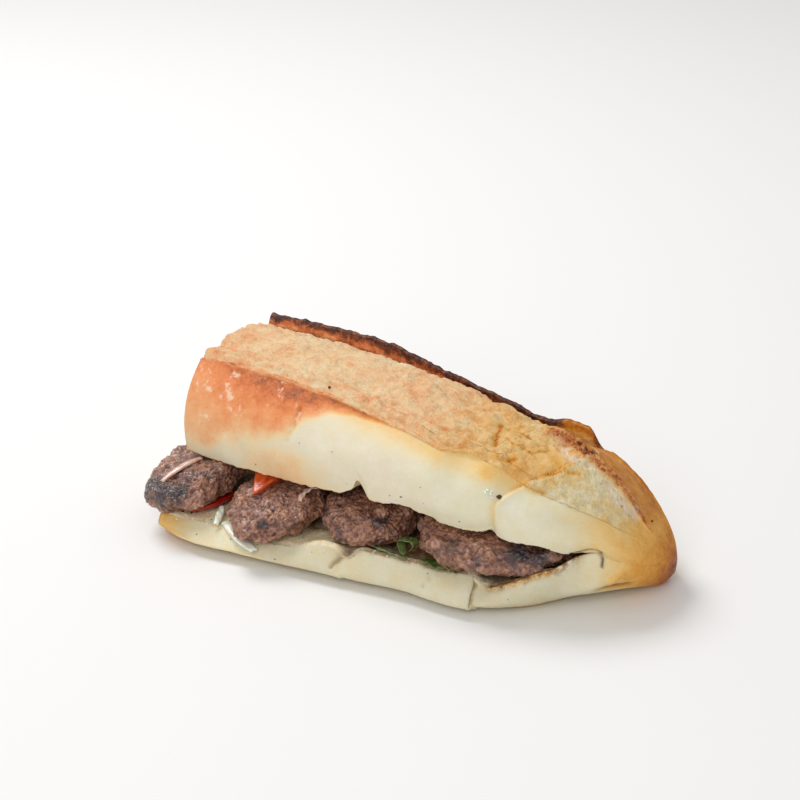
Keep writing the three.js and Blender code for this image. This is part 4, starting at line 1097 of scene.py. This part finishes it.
def make_patty(name, facts, meat):
    """Ground meat pressed by hand: warped clumps of 4 mm and grains of 2 mm stand out, with seams
    sunk in places between them, over slow lumps. One mark gives how high a point stands, which
    the meat paints as light on the tops and as shade in the seams and crevices; char, how far
    it is burnt."""
    p = patty_form(**facts)
    normal = grid_normals(p)
    if np.sum(normal[PATTY_OVER // 2] * (p[PATTY_OVER // 2] - np.array(facts["at"]))) < 0:
        normal = -normal
    seed = int(name[-1]) * 13
    warp = p + 1.3 * drift(p, 4, seed + 31)
    clump, clump_next = pebbles(warp, 4.2, seed)
    small, _ = pebbles(warp, 1.9, seed + 1)
    seams = (1 - ramp(clump_next - clump, 0.0, 0.3)) * ramp(noise(p, 8, seed + 7), -0.4, 0.3)
    tiny, _ = pebbles(p, 1.25, seed + 9)
    ragged = np.abs(noise(warp, 2.6, seed + 3)) + 0.6 * np.abs(noise(p, 1.4, seed + 10))
    domes = 0.35 * dome(clump, 0.8) + 0.42 * dome(small, 0.8) + 0.25 * dome(tiny, 0.8)
    relief = (0.9 * noise(p, 13, seed + 2) + 1.2 * noise(p, 6, seed + 8) + domes - 0.45 * seams
              - 0.8 * ragged)
    for station, across, half, depth in PRESSED.get(name, ()):
        away = (p[..., 0] - station) ** 2 + (p[..., 1] - across) ** 2
        relief = relief - depth * np.exp(-away / half ** 2)
    pole = np.sin(math.pi * np.linspace(0, 1, PATTY_OVER + 1))[:, None]
    p = p + normal * (relief * np.minimum(1, pole * 4))[..., None]
    painted_light_by_height = np.clip(0.3 + 0.7 * domes - 0.7 * ragged - 0.2 * seams + 0.3 * noise(p, 6, seed + 8), 0, 1)
    char = 0.6 * ramp(noise(p, 10, seed + 5) + 0.4 * noise(p, 3, seed + 6), 0.45, 0.8)
    for at, half in BURNT.get(name, ()):
        away = np.linalg.norm(p + 1.5 * (warp - p) - np.array(at), axis=-1)
        char = np.maximum(char, np.exp(-(away / half) ** 4))
    marks = {"painted_light_by_height": painted_light_by_height, "char": char}
    mesh_piece(name + "_meat", p, outward_faces(p), [meat], (name,), marks)


# Salad

STRIP_ROWS = 70
STRIP_COLUMNS = 13
LEAF_ROWS = 90


def sheet_solid(name, p, thickness, material, replaced):
    """A thin closed sheet over a (rows, columns) grid of places: both faces lie half the thickness
    off the grid, thinner towards the rim, and a rim joins them."""
    rows, columns = p.shape[:2]
    n = np.cross(np.gradient(p, axis=0), np.gradient(p, axis=1))
    n /= np.maximum(np.linalg.norm(n, axis=-1, keepdims=True), 1e-9)
    i = np.linspace(-1, 1, rows)[:, None]
    j = np.linspace(-1, 1, columns)[None]
    lens = np.sqrt(np.clip(1.02 - i ** 8, 0, 1)) * np.sqrt(np.clip(1.02 - j ** 6, 0, 1))
    off = n * (thickness / 2 * np.clip(lens, 0.15, 1))[..., None]
    top, under = p + off, p - off
    a = (np.arange(rows - 1)[:, None] * columns + np.arange(columns - 1)[None]).ravel()
    upper = np.stack([a, a + columns, a + columns + 1, a + 1], -1)
    size = rows * columns
    lower = upper[:, ::-1] + size
    edge = np.concatenate([np.arange(columns - 1), np.arange(rows - 1) * columns + columns - 1,
                           (rows - 1) * columns + np.arange(columns - 1, 0, -1),
                           np.arange(rows - 1, 0, -1) * columns])
    ahead = np.roll(edge, -1)
    rim = np.stack([edge, ahead, ahead + size, edge + size], -1)
    faces = np.concatenate([upper, lower, rim])
    places = np.concatenate([top.reshape(-1, 3), under.reshape(-1, 3)])
    mesh_piece(name, places, faces, [material], replaced)


def strip_grid(knots, width, curl, waves, twist):
    """A strip's mid surface: a smooth curve through knots, carried sideways by its width, which
    swells in the middle; its edges curl down and may wave."""
    knots = np.asarray(knots, float)
    u = np.linspace(0, 1, STRIP_ROWS)
    stations = np.concatenate([np.linspace(0, 1, len(knots))[:, None], knots], axis=1)
    middle = along(stations, u)
    ahead = np.gradient(middle, axis=0)
    ahead /= np.linalg.norm(ahead, axis=-1, keepdims=True)
    side = np.cross(ahead, [0, 0, 1.0])
    side /= np.linalg.norm(side, axis=-1, keepdims=True)
    up = np.cross(side, ahead)
    angle = (twist * u)[:, None]
    side, up = side * np.cos(angle) + up * np.sin(angle), up * np.cos(angle) - side * np.sin(angle)
    w = width / 2 * (0.55 + 0.45 * np.sin(math.pi * np.clip(u, 0.08, 0.92)))[:, None]
    v = np.linspace(-1, 1, STRIP_COLUMNS)[None]
    drop = -curl * v ** 2 + waves * v * np.sin(u * 19)[:, None]
    return middle[:, None] + side[:, None] * (w * v)[..., None] + up[:, None] * drop[..., None]


# Strips of salad: node, material, slot, width, thickness, curl and waves of the edges, twist, path
STRIPS = {
    "white_rib": ("lettuce_rib", "rib", "rib", 4.8, 1.7, 0.5, 0.0, 0.0,
                  [[28.8, -36, 11.1], [34.6, -39.5, 10.8], [40.4, -42.8, 9.9], [45.3, -45, 9.1],
                   [49.6, -46.9, 8.5]]),
    "pale_shred": ("lettuce_shred", "rib", "lettuce", 3.0, 0.9, 0.4, 0.35, 0.5,
                   [[23.9, -29.7, 14.2], [25.3, -33.2, 13.6], [26.6, -36.8, 12.9], [27.6, -40.2, 11.6]]),
    "green_strand": ("lettuce_strand", "leaf", "lettuce", 1.8, 0.7, 0.2, 0.3, 0.6,
                     [[94, -32, 14.9], [100, -33.6, 15.2], [106, -34.8, 15.1], [112, -35.6, 14.8]]),
    "onion_on_patty": ("onion_sliver_1", "onion", "onion", 3.0, 1.1, 0.3, 0.0, 0.0,
                       [[1, -38.5, 23.6], [3.4, -32, 26.2], [6, -25.5, 27.7], [8.4, -20.4, 28.2]]),
    "wavy_onion": ("onion_sliver_2", "onion", "onion", 2.4, 0.8, 0.3, 0.4, 0.4,
                   [[60.2, -29.5, 24.8], [59.6, -26, 26.2], [60.4, -22.5, 27.1], [63, -19.5, 27.6]]),
    "white_thread": ("onion_thread", "onion", "onion", 0.9, 0.7, 0.1, 0.0, 0.0,
                     [[116.3, -21, 26.2], [118.6, -25, 26.2], [120.6, -29, 25.2]]),
}


CURL_AT = (108.2, -31.8, 17.6)
CURL_RADIUS = 3
LEAF_FROM, LEAF_TO = (117, -36.5), (133, -31)
LEAF_HEIGHT = 15.3


def make_salad(wet):
    """The strips, then a curl of leaf, rolled by five sixths of a turn, and a flat torn leaf."""
    for name, (node, kind, slot, width, thickness, curl, waves, twist, path) in STRIPS.items():
        sheet_solid(name, strip_grid(path, width, curl, waves, twist), thickness, wet[kind], (node,))
    u = np.linspace(0, 1, LEAF_ROWS)[:, None]
    v = np.linspace(0, 1, 24)[None]
    turn = mix(-0.6, 1.5 * math.pi, u)
    radius = CURL_RADIUS + 0.5 * np.sin(3 * turn) + 0.25 * np.sin(9 * u + 5 * v)
    curl = np.stack([CURL_AT[0] + radius * np.cos(turn) + 0.6 * v,
                     CURL_AT[1] + 4 * v + 0.4 * np.sin(turn),
                     CURL_AT[2] + radius * 0.9 * np.sin(turn) + 0 * v], -1)
    sheet_solid("green_curl", curl, 0.5, wet["leaf"], ("lettuce_curl",))
    v = np.linspace(0, 1, 30)[None]
    flat = np.stack([mix(LEAF_FROM[0], LEAF_TO[0], u) + 0 * v,
                     mix(LEAF_FROM[1], LEAF_TO[1], v) + 0.5 * np.sin(9 * u) + 0.3 * np.sin(31 * u),
                     LEAF_HEIGHT - 0.2 * v + 0.4 * np.sin(11 * u + 2 * v)
                     + 0.25 * np.sin(37 * u) * (1 - v)], -1)
    sheet_solid("green_leaf", flat, 0.5, wet["leaf"], ("lettuce_leaf",))


WEDGE_CORNERS = np.array([[31.5, -14.6, 30.6], [47.5, -14.6, 30.6], [38.4, -30.6, 22.4]])
WEDGE_DOWN = np.array([0, 0.48, -0.88])
# Reach and depth of the wedge's rings, and reach and height of the slice's, from the middle out
WEDGE_RINGS = [(0.02, 0.25), (0.3, 0.15), (0.6, 0.05), (0.85, 0.0), (0.96, 0.05), (1.0, 0.35),
               (1.01, 0.9), (1.0, 1.8), (0.98, 2.7), (0.93, 3.2), (0.7, 3.4), (0.3, 3.4), (0.02, 3.4)]
SLICE_RINGS = [(0.03, 0.0), (0.9, 0.0), (0.97, 0.25), (1.0, 0.75), (1.005, 1.2), (0.99, 1.7),
               (0.95, 2.0), (0.9, 2.05), (0.03, 2.05)]
SLICE_AT = (7.6, -22, 12.1)
SLICE_HALF = (14, 16)
WEDGE_AROUND = 120
SLICE_AROUND = 160


def make_tomato(flesh, skin):
    """Wedge: rings run from the middle of the cut face out to its rounded three-cornered rim,
    then down its side and in under it. Slice: an oval disc with a rounded skin rim."""
    middle = WEDGE_CORNERS.mean(axis=0)
    k = np.arange(WEDGE_AROUND) / WEDGE_AROUND * 3
    i = k.astype(int)
    w = (k - i)[:, None]
    rim = WEDGE_CORNERS[i] * (1 - w) + WEDGE_CORNERS[(i + 1) % 3] * w
    blunt = 1 - 0.12 * np.exp(-((np.minimum(k - i, 1 - (k - i))) / 0.12) ** 2)[:, None]
    rim = middle + (rim - middle) * blunt
    reach, depth = np.array(WEDGE_RINGS).T
    p = middle + (rim[None] - middle) * reach[:, None, None] + WEDGE_DOWN * depth[:, None, None]
    p = p + (noise(p, 2.5, 81) * 0.15)[..., None]
    mesh_piece("tomato_cut_wedge", p, closed_faces(p), [flesh], ("tomato_wedge",))
    spin = 2 * math.pi * np.arange(SLICE_AROUND) / SLICE_AROUND
    reach, lift = np.array(SLICE_RINGS).T
    wobble = 1 + 0.02 * np.sin(5 * spin) + 0.012 * np.sin(11 * spin)
    p = np.stack([SLICE_AT[0] + SLICE_HALF[0] * reach[:, None] * np.cos(spin) * wobble,
                  SLICE_AT[1] + SLICE_HALF[1] * reach[:, None] * np.sin(spin) * wobble,
                  SLICE_AT[2] + lift[:, None] + 0 * spin], -1)
    mesh_piece("tomato_round", p, closed_faces(p), [skin], ("tomato_slice",))


def closed_faces(p):
    """The faces of a grid of rings and its two many-sided ends, all turned to look outwards."""
    rows, columns = p.shape[:2]
    flat = p.reshape(-1, 3)
    centre = flat.mean(axis=0)
    out = outward_faces(p).tolist()
    for ring in (list(range(columns)), list(range(rows * columns - 1, (rows - 1) * columns - 1, -1))):
        q = flat[ring]
        normal = np.sum(np.cross(q - q.mean(axis=0), np.roll(q, -1, axis=0) - q.mean(axis=0)), axis=0)
        out.append(ring if np.dot(normal, q.mean(axis=0) - centre) > 0 else ring[::-1])
    return out


# Crumbs, specks and sauce

# Scattered bits: stretch, stations from and to, shares of the stretch from and to, and how many
FINE_SPECKS = [("lower_crust", 20, 170, 0.05, 0.5, 8), ("flap", 30, 140, 0.45, 0.95, 9)]
COARSE_SPECKS = [("upper_edge", 88, 170, 0.0, 0.8, 22), ("upper_edge", 160, 176, 0.0, 0.9, 26),
                 ("floor", 8, 60, 0.75, 1.0, 10)]
CRUMBS = [("lower_edge", 4, 140, 0.1, 0.9, 26), ("lower_crust", 2, 140, 0.0, 0.12, 10)]
SAUCE = [("flap", 141.8, 145.2, 0.33, 0.43, 12)]
# Specks that the photo shows one by one: place and size in mm
SPECKS = [([62.4, -9.1, 66.0], 1.6), ([147, -28.9, 46.9], 2.1), ([106.6, -31, 38.3], 1.2),
          ([192.3, 9.4, 30.7], 1.4)]


def lumps(name, places, sizes, material, seed, squash=0.7):
    """Many small lumps in one mesh: each is a ball of 6 rings of 8 corners, uneven, flattened and
    scaled to its size in mm."""
    rng = np.random.default_rng(seed)
    rings, corners = 6, 8
    up = math.pi * (np.linspace(0.04, 0.96, rings) - 0.5)
    spin = 2 * math.pi * np.arange(corners) / corners
    ball = np.stack([np.cos(up)[:, None] * np.cos(spin), np.cos(up)[:, None] * np.sin(spin),
                     np.sin(up)[:, None] + 0 * spin], -1).reshape(-1, 3)
    count = len(places)
    shape = ball[None] * rng.uniform(0.7, 1.3, (count, len(ball), 1))
    shape = shape * rng.uniform(0.7, 1.3, (count, 1, 3))
    shape[..., 2] *= squash
    p = np.asarray(places)[:, None] + shape * (np.asarray(sizes)[:, None, None] / 2)
    quads = ring_faces(rings, corners)
    caps = [list(range(corners))[::-1], [(rings - 1) * corners + j for j in range(corners)]]
    one = quads.tolist() + caps
    faces = [[v + k * len(ball) for v in f] for k in range(count) for f in one]
    mesh_piece(name, p, faces, [material])


def make_small_things(loaf, sauce, char, crust):
    """Charred specks and bread crumbs along the lips and on the flap, and bubbles of sauce beside
    the flap's hole."""
    rng = np.random.default_rng(12)

    def spots(rows):
        return np.array([loaf.place(rng.uniform(low_x, high_x), stretch, rng.uniform(low, high))
                         for stretch, low_x, high_x, low, high, count in rows for _ in range(count)])

    fine, coarse = spots(FINE_SPECKS), spots(COARSE_SPECKS)
    sizes = [rng.uniform(0.35, 0.8, len(fine)), rng.uniform(0.5, 1.3, len(coarse))]
    places = np.concatenate([fine, coarse, [place for place, _ in SPECKS]])
    sizes = np.concatenate(sizes + [[size for _, size in SPECKS]])
    lumps("charred_specks", places, sizes, char, 5, 0.5)
    places = spots(CRUMBS)
    lumps("bread_crumbs", places, rng.uniform(0.4, 1.0, len(places)), crust, 6)
    places = spots(SAUCE)
    lumps("sauce_drops", places, rng.uniform(0.6, 1.4, len(places)), sauce, 7, 0.5)


# Stage: soft lamps with their place, size in metres and power in watts, and the even sky

LAMPS = {"key": ((-0.75, 0.25, 1.15), 0.7, 11.0), "front": ((0.3, -1.3, 0.95), 0.9, 7.5)}
LAMP_AIM = (0, 0, 0.03)
SKY_STRENGTH = 0.52
FLOOR_HALF = 4.0
FLOOR_GAP = 0.0002


def soft_light(name, place, size, power):
    """A round lamp that looks at LAMP_AIM."""
    lamp = bpy.data.lights.new(name, "AREA")
    lamp.shape = "DISK"
    lamp.size = size
    lamp.energy = power
    light = bpy.data.objects.new(name, lamp)
    light.location = place
    light.rotation_euler = (Vector(LAMP_AIM) - Vector(place)).to_track_quat("-Z", "Y").to_euler()
    bpy.context.scene.collection.objects.link(light)


def set_stage():
    """A plain pale floor under the part, a bright even sky, and soft lamps from the left and
    behind and from the front."""
    z = cad_box[0][2] - FLOOR_GAP
    corners = [(i * FLOOR_HALF, j * FLOOR_HALF, z) for i, j in ((-1, -1), (1, -1), (1, 1), (-1, 1))]
    mesh = bpy.data.meshes.new("floor")
    mesh.from_pydata(corners, [], [(0, 1, 2, 3)])
    material, _, shader = new_material("white card", Roughness=0.7, Specular_IOR_Level=0.1)
    shader.inputs["Base Color"].default_value = linear("#eeedec")
    mesh.materials.append(material)
    floor = bpy.data.objects.new("floor", mesh)
    bpy.context.scene.collection.objects.link(floor)
    world = bpy.data.worlds.new("studio")
    world.use_nodes = True
    world.node_tree.nodes["Background"].inputs["Color"].default_value = linear("#ffffff")
    world.node_tree.nodes["Background"].inputs["Strength"].default_value = SKY_STRENGTH
    bpy.context.scene.world = world
    for name, (place, size, power) in LAMPS.items():
        soft_light(name, place, size, power)
    bpy.context.scene.view_settings.view_transform = "Standard"


def set_camera():
    """The camera looks from its azimuth and elevation at the aimed point, then turns a little so
    that this point shows at its pixel, with no lens shift."""
    a, e = math.radians(VIEW_AZIMUTH), math.radians(VIEW_ELEVATION)
    right = Vector((math.cos(a), math.sin(a), 0))
    back = Vector((math.sin(a) * math.cos(e), -math.cos(a) * math.cos(e), math.sin(e)))
    up = back.cross(right)
    pixels_deep = IMAGE_SIDE / 2 / math.tan(math.radians(LENS_ANGLE) / 2)
    distance = pixels_deep / PIXELS_PER_MM * MM
    place = Vector(((AIM_POINT + SHIFT) * MM).tolist()) + back * distance
    basis = Matrix((right, up, back)).transposed()
    tilt = math.atan((AIM_PIXEL[1] - IMAGE_SIDE / 2) / pixels_deep)
    pan = math.atan((AIM_PIXEL[0] - IMAGE_SIDE / 2) / pixels_deep)
    basis = basis @ Matrix.Rotation(tilt, 3, "X") @ Matrix.Rotation(pan, 3, "Y")
    lens = bpy.data.cameras.new("camera")
    lens.sensor_width = 36
    lens.angle = math.radians(LENS_ANGLE)
    lens.clip_start = 0.01
    lens.clip_end = 30
    camera = bpy.data.objects.new("camera", lens)
    camera.matrix_world = Matrix.Translation(place) @ basis.to_4x4()
    bpy.context.scene.collection.objects.link(camera)
    bpy.context.scene.camera = camera


set_camera()
set_stage()
bake_crust, crumb, meat = crust_material(), crumb_material(), meat_material()
loaf = make_bread(bake_crust, crumb)
for patty_name, facts in PATTIES.items():
    make_patty(patty_name, facts, meat)
make_salad({"rib": wet_material("romaine rib", "#d8dcc4", "#f6f6ee", 2.5, 0.3, 0.35),
            "leaf": wet_material("lettuce leaf", "#2b3f17", "#7c8f4c", 3.0, 0.35, 0.2),
            "onion": wet_material("raw onion", "#bd9482", "#e0c6b6", 3.0, 0.25, 0.4)})
flesh = wet_material("tomato flesh", "#b5330c", "#e8662c", 2.6, 0.25, 0.25)
skin = wet_material("tomato skin", "#9c1408", "#cf2a14", 5.0, 0.2, 0.15)
make_tomato(flesh, skin)
make_small_things(loaf, sauce_material(), speck_material(), bake_crust)
